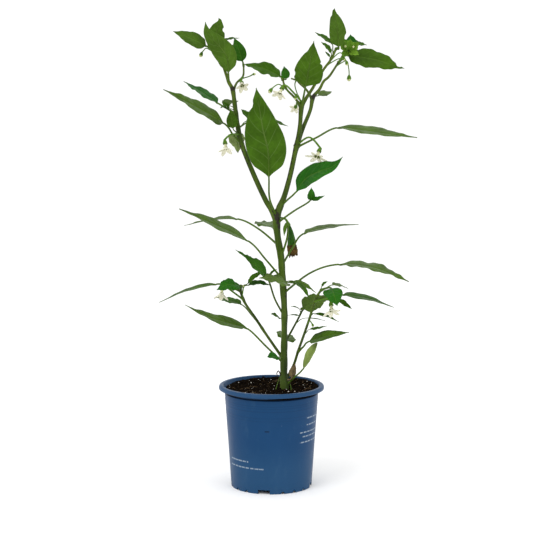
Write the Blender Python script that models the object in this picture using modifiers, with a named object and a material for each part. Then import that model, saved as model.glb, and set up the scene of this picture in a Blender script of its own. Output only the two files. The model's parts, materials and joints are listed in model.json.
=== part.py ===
"""A potted chilli pepper plant in a nursery pot.

The pot stands on the world origin, +Z is up and the plant's show side faces -Y.
Leaves, stems, flowers, buds, the young fruit, the potting mix and the pot are separate closed solids.
All sizes are in metres.
"""

import math
from collections import namedtuple

import bmesh
import bpy
from mathutils import Vector

OBJECT_NAME = "potted_chilli_pepper_plant"
GAP = 0.0003  # clearance between neighbouring solids

# Pot: a thin-walled 12 cm nursery pot with a rolled rim and a notched foot
POT_HEIGHT = 0.1168
RIM_RADIUS = 0.0600
RIM_BORE = 0.0545
LIP_HEIGHT = 0.0058
NECK_HEIGHT = 0.1100
NECK_RADIUS = 0.0535
FOOT_RADIUS = 0.0460
WALL = 0.0013
FLOOR_UNDERSIDE = 0.0060
CENTRE_DISC_RADIUS = 0.0200
CENTRE_STEP = 0.0020  # how far the step around the centre disc slopes outwards
POT_SIDES = 64
FEATURE_START = math.radians(-11)  # first large foot notch, measured from the front
LARGE_NOTCHES = 4
LARGE_NOTCH_WIDTH = 0.0137
LARGE_NOTCH_HEIGHT = 0.0048
SMALL_NOTCH_OFFSETS = (27, 45, 63)  # degrees after each large notch
SMALL_NOTCH_RADIUS = 0.0020
SMALL_NOTCH_CENTRE = 0.0008
DRAIN_HOLES = 8
DRAIN_HOLE_RADIUS = 0.0045
DRAIN_CIRCLE = 0.0330

# Potting mix
SOIL_TOP = 0.1118
SOIL_EDGE = 0.1096
STEM_BOTTOM = 0.0850
POCKET_RADIUS = 0.0052

# Leaves and stalks
STALK_WIDTH = 0.0018
BLADE_THICKNESS = 0.0007
TIP_WIDTH = 0.0008
STALK_ROWS = 4
BLADE_ROWS = 9
WIDEST_AT = (0.75, 1.25)  # exponents of the outline: widest at 0.375 of the blade
PEDICEL_RADIUS = 0.0008
CALYX_RADIUS = 0.0023
COROLLA_DEPTH = 0.0040

Stem = namedtuple("Stem", "parent height points radii samples")
Leaf = namedtuple("Leaf", "parent height base tip width faces rise arch fold")
Flower = namedtuple("Flower", "parent height bend centre faces radius petals")
Bud = namedtuple("Bud", "parent height points radii")

# Each shoot starts on its parent at a height; None marks the main stem, which starts in the mix.
# The main stem runs on as the right-hand branch above the fork at 0.31 m.
STEMS = {
    "main_stem": Stem(None, None, [
        (0.0150, -0.0130, STEM_BOTTOM), (0.0150, -0.0130, 0.106), (0.0139, -0.0115, 0.126),
        (0.0139, -0.0095, 0.146), (0.0143, -0.0060, 0.177), (0.0143, -0.0025, 0.206),
        (0.0121, 0.0000, 0.241), (0.0105, 0.0005, 0.263), (0.0072, 0.0000, 0.283),
        (0.0054, 0.000, 0.303), (0.0078, 0.000, 0.316), (0.0143, -0.001, 0.3325),
        (0.0208, -0.002, 0.356), (0.0261, -0.002, 0.381), (0.0290, -0.003, 0.394),
        (0.0316, -0.008, 0.4126), (0.0332, -0.013, 0.433), (0.0385, -0.0138, 0.443),
        (0.0457, -0.013, 0.454), (0.0568, -0.011, 0.473), (0.0661, -0.010, 0.4857),
        (0.0711, -0.009, 0.4966),
    ], (0.0046, 0.0046, 0.0042, 0.0037, 0.0034, 0.0034, 0.0035, 0.0035, 0.0036, 0.0040, 0.0036,
        0.0031, 0.0029, 0.0028, 0.0028, 0.0024, 0.0025, 0.0021, 0.0019, 0.0018, 0.0018, 0.0016), 44),
    "left_branch": Stem("main_stem", 0.306, [
        (-0.0010, 0.001, 0.3180), (-0.0068, 0.002, 0.3275), (-0.0192, 0.004, 0.354),
        (-0.0322, 0.006, 0.386), (-0.0373, 0.008, 0.406), (-0.0413, 0.010, 0.434),
        (-0.0437, 0.010, 0.451), (-0.0480, 0.009, 0.4595), (-0.0512, 0.008, 0.469),
        (-0.0554, 0.008, 0.480), (-0.0643, 0.008, 0.493), (-0.0685, 0.008, 0.4975),
    ], (0.0030, 0.0030, 0.0029, 0.0027, 0.0025, 0.0024, 0.0026, 0.0021, 0.0020, 0.0019, 0.0018, 0.0016),
        28),
    "right_outer_branch": Stem("main_stem", 0.388, [
        (0.0352, 0.004, 0.4085), (0.0434, 0.012, 0.428), (0.0465, 0.017, 0.442), (0.0538, 0.020, 0.451),
        (0.0588, 0.024, 0.460), (0.0654, 0.026, 0.466), (0.0755, 0.030, 0.481),
    ], (0.0023, 0.0021, 0.0024, 0.0019, 0.0018, 0.0017, 0.0015), 20),
    "left_side_shoot": Stem("left_branch", 0.449, [
        (-0.0395, 0.014, 0.458), (-0.0355, 0.018, 0.462), (-0.0318, 0.020, 0.467),
        (-0.0314, 0.022, 0.477),
    ], (0.0013, 0.0013, 0.0013, 0.0011), 10),
    "centre_shoot": Stem("main_stem", 0.433, [
        (0.0247, -0.018, 0.444), (0.0174, -0.022, 0.4515), (0.0136, -0.024, 0.4585),
        (0.0125, -0.024, 0.463),
    ], (0.0013, 0.0012, 0.0012, 0.0011), 10),
    "inner_side_shoot": Stem("right_outer_branch", 0.440, [
        (0.0391, 0.010, 0.451), (0.0317, 0.004, 0.458), (0.0283, 0.001, 0.4615),
        (0.0218, -0.003, 0.464),
    ], (0.0013, 0.0012, 0.0012, 0.0010), 10),
    "front_shoot": Stem("main_stem", 0.196, [
        (0.0041, -0.006, 0.2153), (-0.0014, -0.012, 0.233), (-0.0042, -0.016, 0.2415),
    ], (0.0010, 0.0010, 0.0009), 10),
    "lower_left_shoot": Stem("main_stem", 0.147, [
        (-0.0052, -0.004, 0.174), (-0.0173, -0.007, 0.193), (-0.0286, -0.010, 0.210),
        (-0.0323, -0.011, 0.218), (-0.0346, -0.012, 0.2255), (-0.0344, -0.012, 0.2315),
    ], (0.0015, 0.0015, 0.0014, 0.0015, 0.0014, 0.0012), 16),
    "lower_right_shoot": Stem("main_stem", 0.121, [
        (0.0244, -0.004, 0.138), (0.0304, -0.010, 0.158), (0.0373, -0.015, 0.179),
        (0.0432, -0.019, 0.198), (0.0471, -0.022, 0.213), (0.0509, -0.024, 0.222),
        (0.0552, -0.025, 0.229),
    ], (0.0015, 0.0014, 0.0014, 0.0013, 0.0013, 0.0014, 0.0012), 18),
    "back_right_shoot": Stem("main_stem", 0.164, [
        (0.0277, 0.014, 0.185), (0.0329, 0.020, 0.194), (0.0361, 0.024, 0.200),
    ], (0.0011, 0.0011, 0.0010), 10),
}

# Blade base and tip are places, "faces" is where the upper side looks, the last three are
# the stalk's rise, the blade's arch and how far its halves fold up
LEAVES = {
    "leaf_top_left_outer": Leaf(
        "left_branch", 0.4950, (-0.0725, 0.008, 0.4995), (-0.1097, 0.003, 0.5160), 0.021,
        (0.3, -0.6, 0.8), 0.000, 0.001, 0.15),
    "leaf_top_left_upright": Leaf(
        "left_branch", 0.4900, (-0.0630, 0.015, 0.5000), (-0.0592, 0.017, 0.5310), 0.0195,
        (0.1, 0.95, 0.1), 0.000, -0.002, 0.20),
    "leaf_top_left_front": Leaf(
        "left_branch", 0.4600, (-0.0482, 0.001, 0.4690), (-0.0737, 0.000, 0.5265), 0.024,
        (0.0, 0.97, 0.1), 0.000, -0.002, 0.20),
    "leaf_left_side_shoot": Leaf(
        "left_side_shoot", None, (-0.0325, 0.022, 0.482), (-0.0420, 0.018, 0.509), 0.015,
        (0.1, -0.9, 0.3), 0.000, 0.002, 0.25),
    "leaf_centre_shoot": Leaf(
        "centre_shoot", None, (0.0105, -0.022, 0.4665), (-0.0310, -0.014, 0.480), 0.018,
        (0.2, -0.6, 0.8), 0.000, 0.002, 0.25),
    "leaf_right_front": Leaf(
        "main_stem", 0.4340, (0.0370, -0.028, 0.455), (0.0460, -0.040, 0.506), 0.032,
        (0.0, 0.97, 0.1), 0.000, -0.003, 0.15),
    "leaf_top_right_upright": Leaf(
        "main_stem", None, (0.0730, -0.012, 0.503), (0.0690, -0.020, 0.541), 0.019,
        (0.1, 0.95, 0.1), 0.000, -0.002, 0.20),
    "leaf_top_right_outer": Leaf(
        "right_outer_branch", None, (0.0880, 0.018, 0.4870), (0.1480, 0.004, 0.4750), 0.026,
        (0.0, -0.75, 0.65), 0.000, 0.0035, 0.15),
    "leaf_upper_right_long": Leaf(
        "main_stem", 0.3870, (0.0715, -0.020, 0.410), (0.1590, -0.048, 0.401), 0.030,
        (0.0, -0.25, 0.96), 0.000, 0.002, 0.20),
    "leaf_fork_right": Leaf(
        "main_stem", 0.3200, (0.0265, -0.018, 0.338), (0.0780, -0.042, 0.3795), 0.030,
        (-0.45, -0.6, 0.65), 0.000, 0.003, 0.20),
    "leaf_fork_right_front": Leaf(
        "main_stem", 0.3010, (0.0420, -0.026, 0.329), (0.0565, -0.066, 0.338), 0.022,
        (-0.5, 0.1, 0.85), 0.001, 0.002, 0.30),
    "leaf_front_large": Leaf(
        "main_stem", 0.3090, (-0.0030, -0.030, 0.354), (-0.0170, -0.042, 0.455), 0.044,
        (0.0, 0.97, 0.1), -0.001, -0.004, 0.12),
    "leaf_centre_back": Leaf(
        "left_branch", 0.4080, (-0.0180, 0.026, 0.418), (0.0190, 0.034, 0.409), 0.015,
        (0.0, -0.3, 0.95), 0.001, 0.002, 0.20),
    "leaf_upper_left_long": Leaf(
        "left_branch", 0.3900, (-0.0530, 0.004, 0.4135), (-0.1185, -0.040, 0.453), 0.028,
        (0.25, -0.35, 0.9), -0.001, 0.001, 0.22),
    "leaf_upper_left_back": Leaf(
        "left_branch", 0.4240, (-0.0600, 0.026, 0.435), (-0.1005, 0.052, 0.459), 0.020,
        (0.3, -0.45, 0.8), 0.000, 0.001, 0.20),
    "leaf_left_away": Leaf(
        "left_branch", 0.4360, (-0.0420, 0.024, 0.438), (-0.0540, 0.070, 0.441), 0.018,
        (0.0, 0.3, 0.95), 0.000, 0.002, 0.20),
    "leaf_left_hanging": Leaf(
        "left_branch", 0.3970, (-0.0425, 0.024, 0.402), (-0.0410, 0.056, 0.379), 0.016,
        (0.0, 0.6, 0.8), 0.001, 0.003, 0.20),
    "leaf_middle_left_long": Leaf(
        "main_stem", 0.2380, (-0.0255, -0.020, 0.2835), (-0.1015, -0.052, 0.323), 0.028,
        (0.25, -0.3, 0.9), 0.001, 0.001, 0.22),
    "leaf_middle_left_back": Leaf(
        "main_stem", 0.2760, (-0.0380, 0.022, 0.304), (-0.1010, 0.060, 0.2925), 0.020,
        (0.0, -0.12, 1.0), 0.004, 0.003, 0.20),
    "leaf_front_shoot": Leaf(
        "front_shoot", None, (-0.0060, -0.021, 0.248), (-0.0400, -0.036, 0.276), 0.020,
        (0.3, -0.5, 0.8), 0.000, 0.001, 0.30),
    "leaf_centre_front_left": Leaf(
        "main_stem", 0.2300, (0.0110, -0.018, 0.2355), (-0.0138, -0.058, 0.2470), 0.026,
        (0.1, -0.25, 0.97), 0.001, 0.002, 0.20),
    "leaf_centre_front_right": Leaf(
        "main_stem", 0.2340, (0.0250, -0.022, 0.2385), (0.0420, -0.046, 0.2230), 0.013,
        (0.3, -0.4, 0.85), 0.001, 0.003, 0.20),
    "leaf_middle_right_back": Leaf(
        "main_stem", 0.2530, (0.0360, 0.018, 0.2875), (0.1010, 0.058, 0.294), 0.022,
        (-0.1, -0.12, 1.0), 0.002, 0.003, 0.20),
    "leaf_middle_right_long": Leaf(
        "main_stem", 0.2220, (0.0740, -0.028, 0.2585), (0.1500, -0.066, 0.2445), 0.030,
        (0.0, -0.2, 0.97), 0.007, 0.006, 0.20),
    "leaf_middle_away": Leaf(
        "main_stem", 0.2660, (0.0120, 0.024, 0.288), (-0.0120, 0.080, 0.303), 0.028,
        (0.0, 0.4, 0.9), 0.002, 0.002, 0.20),
    "leaf_lower_left_long": Leaf(
        "main_stem", 0.1430, (-0.0265, -0.022, 0.1845), (-0.0955, -0.054, 0.217), 0.024,
        (0.2, -0.25, 0.93), 0.000, 0.001, 0.22),
    "leaf_left_shoot_round": Leaf(
        "lower_left_shoot", None, (-0.0350, -0.018, 0.2335), (-0.0615, -0.032, 0.2300), 0.019,
        (-0.1, -0.65, 0.75), 0.000, 0.0055, 0.15),
    "leaf_left_shoot_long": Leaf(
        "lower_left_shoot", 0.2260, (-0.0620, 0.006, 0.2315), (-0.1290, 0.028, 0.207), 0.015,
        (0.0, -0.2, 0.97), 0.001, 0.004, 0.20),
    "leaf_left_shoot_low": Leaf(
        "lower_left_shoot", 0.1820, (-0.0335, 0.010, 0.207), (-0.0655, 0.030, 0.213), 0.014,
        (0.1, -0.3, 0.95), 0.001, 0.001, 0.20),
    "leaf_right_shoot_front": Leaf(
        "lower_right_shoot", None, (0.0660, -0.036, 0.2330), (0.0720, -0.063, 0.217), 0.022,
        (0.0, -0.6, 0.8), 0.001, 0.003, 0.15),
    "leaf_right_shoot_long": Leaf(
        "lower_right_shoot", 0.2180, (0.0790, -0.014, 0.2225), (0.1395, 0.008, 0.2045), 0.020,
        (0.0, -0.25, 0.96), 0.001, 0.003, 0.20),
    "leaf_right_shoot_low": Leaf(
        "lower_right_shoot", 0.1560, (0.0420, -0.020, 0.1700), (0.0860, -0.042, 0.184), 0.019,
        (-0.1, -0.25, 0.96), 0.000, 0.002, 0.25),
    "leaf_back_right_shoot": Leaf(
        "back_right_shoot", None, (0.0350, 0.020, 0.2015), (0.0660, 0.028, 0.2140), 0.024,
        (-0.15, -0.7, 0.7), 0.000, 0.001, 0.20),
    "leaf_base_young": Leaf(
        "main_stem", 0.1165, (0.0360, -0.018, 0.138), (0.0490, -0.025, 0.168), 0.015,
        (-0.7, -0.5, 0.5), 0.000, 0.001, 0.45),
    "leaf_lower_away": Leaf(
        "main_stem", 0.1620, (0.0170, 0.016, 0.1680), (0.0150, 0.060, 0.1700), 0.024,
        (0.35, 0.1, 0.93), 0.001, 0.002, 0.20),
}

FLOWERS = {
    "flower_left_top": Flower(
        "left_side_shoot", 0.4610, (-0.0320, 0.013, 0.4655), (-0.0330, 0.004, 0.4570),
        (0.0, -0.8, -0.6), 0.0085, 5),
    "flower_centre": Flower(
        "main_stem", 0.4370, (0.0185, -0.029, 0.4550), (0.0080, -0.031, 0.4470),
        (-0.6, -0.4, -0.65), 0.0085, 5),
    "flower_behind_right": Flower(
        "main_stem", 0.4290, (0.0280, 0.000, 0.4370), (0.0265, 0.007, 0.4310),
        (-0.2, 0.8, -0.5), 0.0075, 5),
    "flower_right": Flower(
        "main_stem", 0.3900, (0.0420, -0.011, 0.3990), (0.0530, -0.014, 0.3780),
        (0.0, -0.45, -0.9), 0.0135, 6),
    "flower_left": Flower(
        "left_branch", 0.4010, (-0.0455, -0.010, 0.4020), (-0.0505, -0.012, 0.3885),
        (-0.1, -0.35, -0.93), 0.0085, 5),
    "flower_lower_left": Flower(
        "lower_left_shoot", 0.2160, (-0.0500, -0.0120, 0.2300), (-0.0558, -0.0130, 0.2225),
        (-0.15, -0.4, -0.9), 0.0085, 5),
    "flower_lower_right": Flower(
        "lower_right_shoot", 0.2160, (0.0610, -0.031, 0.2200), (0.0665, -0.036, 0.2060),
        (0.0, -0.6, -0.8), 0.0115, 6),
}

BUDS = {
    "young_fruit": Bud("main_stem", 0.3085, [
        (0.0150, 0.0060, 0.3060), (0.0190, 0.0120, 0.3000), (0.0215, 0.0160, 0.2905),
        (0.0229, 0.0180, 0.2800), (0.0231, 0.0180, 0.2740), (0.0237, 0.0180, 0.2670),
        (0.0245, 0.0180, 0.2610),
    ], (0.0010, 0.0016, 0.0028, 0.0045, 0.0049, 0.0052, 0.0030)),
    "bud_top_left": Bud("left_branch", 0.4920, [
        (-0.0725, 0.0150, 0.4970), (-0.0760, 0.0165, 0.4950), (-0.0785, 0.0170, 0.4915),
        (-0.0795, 0.0170, 0.4890),
    ], (0.0007, 0.0013, 0.0023, 0.0012)),
    "bud_centre": Bud("centre_shoot", 0.4500, [
        (0.0090, -0.0290, 0.4580), (0.0035, -0.0310, 0.4565), (0.0000, -0.0320, 0.4535),
        (-0.0020, -0.0320, 0.4505),
    ], (0.0007, 0.0013, 0.0024, 0.0012)),
    "bud_top_right": Bud("right_outer_branch", 0.4770, [
        (0.0840, 0.0190, 0.4830), (0.0865, 0.0150, 0.4750), (0.0870, 0.0140, 0.4690),
        (0.0870, 0.0140, 0.4650), (0.0870, 0.0140, 0.4625),
    ], (0.0007, 0.0009, 0.0020, 0.0026, 0.0014)),
}

MATERIALS = {
    "pot_plastic": ((0.020, 0.070, 0.175), 0.45),
    "potting_mix": ((0.012, 0.009, 0.006), 0.95),
    "stem_green": ((0.070, 0.130, 0.025), 0.55),
    "leaf_green": ((0.055, 0.130, 0.022), 0.45),
    "petal_cream": ((0.720, 0.700, 0.560), 0.60),
    "bud_green": ((0.160, 0.230, 0.060), 0.50),
    "fruit_green": ((0.060, 0.150, 0.025), 0.30),
}


def clear_scene():
    for scene_object in list(bpy.data.objects):
        bpy.data.objects.remove(scene_object, do_unlink=True)


def make_collection(name):
    collection = bpy.data.collections.new(name)
    bpy.context.scene.collection.children.link(collection)
    return collection


def make_materials():
    made = {}
    for name, (colour, roughness) in MATERIALS.items():
        material = bpy.data.materials.new(name)
        material.use_nodes = True
        shader = material.node_tree.nodes["Principled BSDF"]
        shader.inputs["Base Color"].default_value = (*colour, 1.0)
        shader.inputs["Roughness"].default_value = roughness
        shader.inputs["Metallic"].default_value = 0.0
        made[name] = material
    return made


def object_from_bmesh(name, bm, collection, material=None):
    mesh = bpy.data.meshes.new(name)
    bm.to_mesh(mesh)
    bm.free()
    made = bpy.data.objects.new(name, mesh)
    collection.objects.link(made)
    if material:
        mesh.materials.append(material)
    return made


def hide_cutter(cutter):
    cutter.hide_render = True
    cutter.display_type = "WIRE"


def boolean(target, operation, other):
    modifier = target.modifiers.new(operation.lower(), "BOOLEAN")
    modifier.operation = operation
    modifier.solver = "EXACT"
    modifier.object = other


# ---------------------------------------------------------------- pot and potting mix


def wall_radius(height):
    """Outer radius of the pot's tapered wall."""
    return FOOT_RADIUS + (NECK_RADIUS - FOOT_RADIUS) * height / NECK_HEIGHT


def turned_solid(name, profile, collection, material):
    """A profile in X and Z, turned about Z; it runs down the outer side."""
    bm = bmesh.new()
    points = [bm.verts.new((radius, 0.0, height)) for radius, height in profile]
    for first, second in zip(points, points[1:]):
        bm.edges.new((first, second))
    made = object_from_bmesh(name, bm, collection, material)
    screw = made.modifiers.new("turn", "SCREW")
    screw.axis = "Z"
    screw.steps = POT_SIDES
    screw.render_steps = POT_SIDES
    screw.use_merge_vertices = True
    screw.merge_threshold = 0.00001
    screw.use_smooth_shade = True
    return made


def pot_profile():
    floor_top = FLOOR_UNDERSIDE + WALL
    lip_bottom = POT_HEIGHT - LIP_HEIGHT
    return [
        (0.0, WALL),
        (CENTRE_DISC_RADIUS - WALL, WALL),
        (CENTRE_DISC_RADIUS - WALL + CENTRE_STEP, floor_top),
        (wall_radius(floor_top) - WALL, floor_top),
        (wall_radius(NECK_HEIGHT) - WALL, NECK_HEIGHT),
        (RIM_BORE - 0.0009, NECK_HEIGHT + 0.0042),
        (RIM_BORE, POT_HEIGHT - 0.0009),
        (RIM_BORE + 0.0014, POT_HEIGHT),
        (RIM_RADIUS - 0.0014, POT_HEIGHT),
        (RIM_RADIUS, POT_HEIGHT - 0.0014),
        (RIM_RADIUS, lip_bottom + 0.0010),
        (RIM_RADIUS - 0.0009, lip_bottom),
        (RIM_RADIUS - 0.0020, lip_bottom),
        (RIM_RADIUS - 0.0034, lip_bottom + 0.0030),
        (RIM_RADIUS - 0.0050, lip_bottom + 0.0022),
        (NECK_RADIUS, NECK_HEIGHT),
        (FOOT_RADIUS, 0.0),
        (FOOT_RADIUS - WALL, 0.0),
        (FOOT_RADIUS - WALL, FLOOR_UNDERSIDE),
        (CENTRE_DISC_RADIUS + CENTRE_STEP, FLOOR_UNDERSIDE),
        (CENTRE_DISC_RADIUS, 0.0),
        (0.0, 0.0),
    ]


def around(angle, radius, height):
    """A place at an angle from the front, measured towards +X."""
    return Vector((radius * math.sin(angle), -radius * math.cos(angle), height))


def foot_notch_cutters():
    made = []
    for large in range(LARGE_NOTCHES):
        start = FEATURE_START + large * 2.0 * math.pi / LARGE_NOTCHES
        bpy.ops.mesh.primitive_cube_add(size=1.0, location=around(start, FOOT_RADIUS, 0.0))
        notch = bpy.context.object
        notch.name = f"large_notch_cutter_{large + 1}"
        notch.scale = (LARGE_NOTCH_WIDTH, 0.012, 2.0 * LARGE_NOTCH_HEIGHT)
        notch.rotation_euler = (0.0, 0.0, start)
        made.append(notch)
        for number, offset in enumerate(SMALL_NOTCH_OFFSETS):
            angle = start + math.radians(offset)
            bpy.ops.mesh.primitive_cylinder_add(
                vertices=8, radius=SMALL_NOTCH_RADIUS, depth=0.010,
                location=around(angle, FOOT_RADIUS, SMALL_NOTCH_CENTRE),
                rotation=(math.pi / 2.0, 0.0, angle))
            small = bpy.context.object
            small.name = f"small_notch_cutter_{large + 1}_{number + 1}"
            made.append(small)
    return made


def drain_hole_cutters():
    made = []
    for number in range(DRAIN_HOLES):
        angle = FEATURE_START + (number + 0.5) * 2.0 * math.pi / DRAIN_HOLES
        bpy.ops.mesh.primitive_cylinder_add(
            vertices=12, radius=DRAIN_HOLE_RADIUS, depth=0.006,
            location=around(angle, DRAIN_CIRCLE, FLOOR_UNDERSIDE + 0.5 * WALL))
        hole = bpy.context.object
        hole.name = f"drain_hole_cutter_{number + 1}"
        made.append(hole)
    return made


def join_cutters(name, pieces, collection):
    """One cutter from several that don't touch."""
    bm = bmesh.new()
    for piece in pieces:
        bpy.context.view_layer.update()
        copy = piece.data.copy()
        copy.transform(piece.matrix_world)
        bm.from_mesh(copy)
        bpy.data.meshes.remove(copy)
        bpy.data.objects.remove(piece, do_unlink=True)
    cutter = object_from_bmesh(name, bm, collection)
    hide_cutter(cutter)
    return cutter


def build_pot(parts, cutters, material):
    pot = turned_solid("pot", pot_profile(), parts, material)
    boolean(pot, "DIFFERENCE", join_cutters("foot_notches", foot_notch_cutters(), cutters))
    boolean(pot, "DIFFERENCE", join_cutters("drain_holes", drain_hole_cutters(), cutters))


def build_soil(parts, cutters, material):
    floor = FLOOR_UNDERSIDE + WALL + GAP
    disc = CENTRE_DISC_RADIUS - WALL - GAP
    profile = [
        (0.0, SOIL_TOP),
        (0.5 * NECK_RADIUS, SOIL_TOP - 0.0002),
        (wall_radius(SOIL_EDGE) - WALL - GAP, SOIL_EDGE),
        (wall_radius(floor) - WALL - GAP, floor),
        (disc + CENTRE_STEP, floor),
        (disc, WALL + GAP),
        (0.0, WALL + GAP),
    ]
    soil = turned_solid("soil", profile, parts, material)
    centre = STEMS["main_stem"].points[0]
    depth = 2.0 * (SOIL_TOP - STEM_BOTTOM + GAP)
    bpy.ops.mesh.primitive_cylinder_add(
        vertices=16, radius=POCKET_RADIUS, depth=depth, location=(centre[0], centre[1], SOIL_TOP))
    pocket = join_cutters("stem_pocket", [bpy.context.object], cutters)
    boolean(soil, "DIFFERENCE", pocket)


# ---------------------------------------------------------------- paths


def spline_point(points, position):
    """A Catmull-Rom curve through the points; position 2.5 is halfway from point 2 to point 3."""
    last = len(points) - 1
    index = min(int(position), last - 1)
    part = position - index
    before = points[index - 1] if index > 0 else points[0] * 2.0 - points[1]
    start = points[index]
    end = points[index + 1]
    after = points[index + 2] if index + 2 <= last else points[last] * 2.0 - points[last - 1]
    return 0.5 * (
        2.0 * start
        + (end - before) * part
        + (2.0 * before - 5.0 * start + 4.0 * end - after) * part ** 2
        + (3.0 * start - before - 3.0 * end + after) * part ** 3)


def sample_path(points, radii, samples):
    """Evenly spread places along the curve, each with its radius."""
    last = len(points) - 1
    row = []
    for number in range(samples):
        position = last * number / (samples - 1)
        index = min(int(position), last - 1)
        part = position - index
        radius = radii[index] * (1.0 - part) + radii[index + 1] * part
        row.append((spline_point(points, position), radius))
    return row


def place_on_stem(path, height):
    """Axis point, direction, radius and whether it is the free end, at a height on a stem."""
    if height is None:
        end, radius = path[-1]
        return end, (end - path[-2][0]).normalized(), radius, True
    for (low, low_radius), (high, high_radius) in zip(path, path[1:]):
        if low.z <= height <= high.z:
            part = (height - low.z) / (high.z - low.z)
            radius = low_radius + (high_radius - low_radius) * part
            return low.lerp(high, part), (high - low).normalized(), radius, False
    raise ValueError(f"no place on the stem at {height}")


def start_clear_of(path, height, toward, radius):
    """Where a stalk of this radius begins, just clear of the stem that bears it."""
    axis_point, direction, stem_radius, at_end = place_on_stem(path, height)
    away = (toward - axis_point).normalized()
    lean = max(away.cross(direction).length, 0.25)
    if at_end:
        offset = 1.5 * GAP + (stem_radius + radius) * away.cross(direction).length
    else:
        offset = (stem_radius + radius + 1.5 * GAP) / lean
    return axis_point + away * offset


def make_tube(name, path, collection, material):
    """A round solid along a path, tapering with the path's radii."""
    curve = bpy.data.curves.new(name, "CURVE")
    curve.dimensions = "3D"
    curve.bevel_depth = 0.001
    curve.bevel_resolution = 2
    curve.use_fill_caps = True
    spline = curve.splines.new("POLY")
    spline.points.add(len(path) - 1)
    for point, (place, radius) in zip(spline.points, path):
        point.co = (*place, 1.0)
        point.radius = radius / curve.bevel_depth
    curve.materials.append(material)
    made = bpy.data.objects.new(name, curve)
    collection.objects.link(made)
    return made


def mesh_from_curve(tube, collection):
    """The tube as a closed mesh object, ready for a Boolean."""
    bpy.context.view_layer.update()
    evaluated = tube.evaluated_get(bpy.context.evaluated_depsgraph_get())
    mesh = bpy.data.meshes.new_from_object(evaluated)
    bm = bmesh.new()
    bm.from_mesh(mesh)
    bmesh.ops.remove_doubles(bm, verts=bm.verts, dist=0.00001)
    bm.to_mesh(mesh)
    bm.free()
    name = tube.name
    made = bpy.data.objects.new(name, mesh)
    made.matrix_world = tube.matrix_world
    bpy.data.objects.remove(tube, do_unlink=True)
    made.name = name
    collection.objects.link(made)
    return made


# ---------------------------------------------------------------- the plant


def build_stems(parts, material):
    """Every stem as a tube; returns their paths by name."""
    paths = {}
    for name, stem in STEMS.items():
        points = [Vector(point) for point in stem.points]
        radii = list(stem.radii)
        if stem.parent:
            start = start_clear_of(paths[stem.parent], stem.height, points[0], radii[0])
            points.insert(0, start)
            radii.insert(0, radii[0])
        paths[name] = sample_path(points, radii, stem.samples)
        make_tube(name, paths[name], parts, material)
    return paths


def blade_outline(part):
    """Half-width of an egg-shaped, pointed blade as a share of its widest place."""
    rise, fall = WIDEST_AT
    widest = rise / (rise + fall)
    peak = widest ** rise * (1.0 - widest) ** fall
    return part ** rise * (1.0 - part) ** fall / peak


def leaf_route(leaf, start):
    """Five places from the stem to the blade's tip."""
    base = Vector(leaf.base)
    tip = Vector(leaf.tip)
    faces = Vector(leaf.faces).normalized()
    stalk_middle = start.lerp(base, 0.5) + Vector((0.0, 0.0, leaf.rise))
    blade_middle = base.lerp(tip, 0.5) + faces * leaf.arch
    return [start, stalk_middle, base, blade_middle, tip]


def build_leaf(name, leaf, paths, parts, material):
    """Stalk and blade as one strip, thick along the stalk and thin across the blade."""
    start = start_clear_of(paths[leaf.parent], leaf.height, Vector(leaf.base), 0.5 * STALK_WIDTH)
    route = leaf_route(leaf, start)
    faces = Vector(leaf.faces).normalized()
    rows = STALK_ROWS + BLADE_ROWS
    bm = bmesh.new()
    bmesh.ops.create_grid(bm, x_segments=2, y_segments=rows, size=1.0)
    stalk_share = []
    for vertex in bm.verts:
        across = vertex.co.x
        row = round((vertex.co.y + 1.0) * 0.5 * rows)
        if row <= STALK_ROWS:
            position = 2.0 * row / STALK_ROWS
            half_width = 0.5 * STALK_WIDTH
            share = 1.0
        else:
            part = (row - STALK_ROWS) / BLADE_ROWS
            position = 2.0 + 2.0 * part
            outline = 0.5 * leaf.width * blade_outline(part)
            half_width = max(outline, 0.5 * TIP_WIDTH)
            share = BLADE_THICKNESS / STALK_WIDTH
        middle = spline_point(route, position)
        ahead = spline_point(route, min(position + 0.02, 4.0))
        behind = spline_point(route, max(position - 0.02, 0.0))
        along = (ahead - behind).normalized()
        side = along.cross(faces).normalized()
        upwards = side.cross(along)
        lift = leaf.fold * half_width * abs(across)
        vertex.co = middle + side * across * half_width + upwards * lift
        stalk_share.append(share)
    made = object_from_bmesh(name, bm, parts, material)
    group = made.vertex_groups.new(name="thickness")
    for index, share in enumerate(stalk_share):
        group.add([index], share, "REPLACE")
    solidify = made.modifiers.new("thickness", "SOLIDIFY")
    solidify.thickness = STALK_WIDTH
    solidify.offset = 0.0
    solidify.vertex_group = "thickness"


def star_corolla(name, flower, cutters):
    """A flared, star-shaped corolla as a shallow solid cup, joined onto its stalk."""
    bm = bmesh.new()
    bmesh.ops.create_cone(
        bm, cap_ends=True, segments=2 * flower.petals, radius1=0.3 * flower.radius,
        radius2=flower.radius, depth=COROLLA_DEPTH)
    wide = [vertex for vertex in bm.verts if vertex.co.z > 0.0]
    wide.sort(key=lambda vertex: math.atan2(vertex.co.y, vertex.co.x))
    for vertex in wide[::2]:
        vertex.co.x *= 0.5
        vertex.co.y *= 0.5
    star = object_from_bmesh(name, bm, cutters)
    star.rotation_mode = "QUATERNION"
    star.rotation_quaternion = Vector(flower.faces).to_track_quat("Z", "Y")
    star.location = flower.centre
    hide_cutter(star)
    return star


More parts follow.
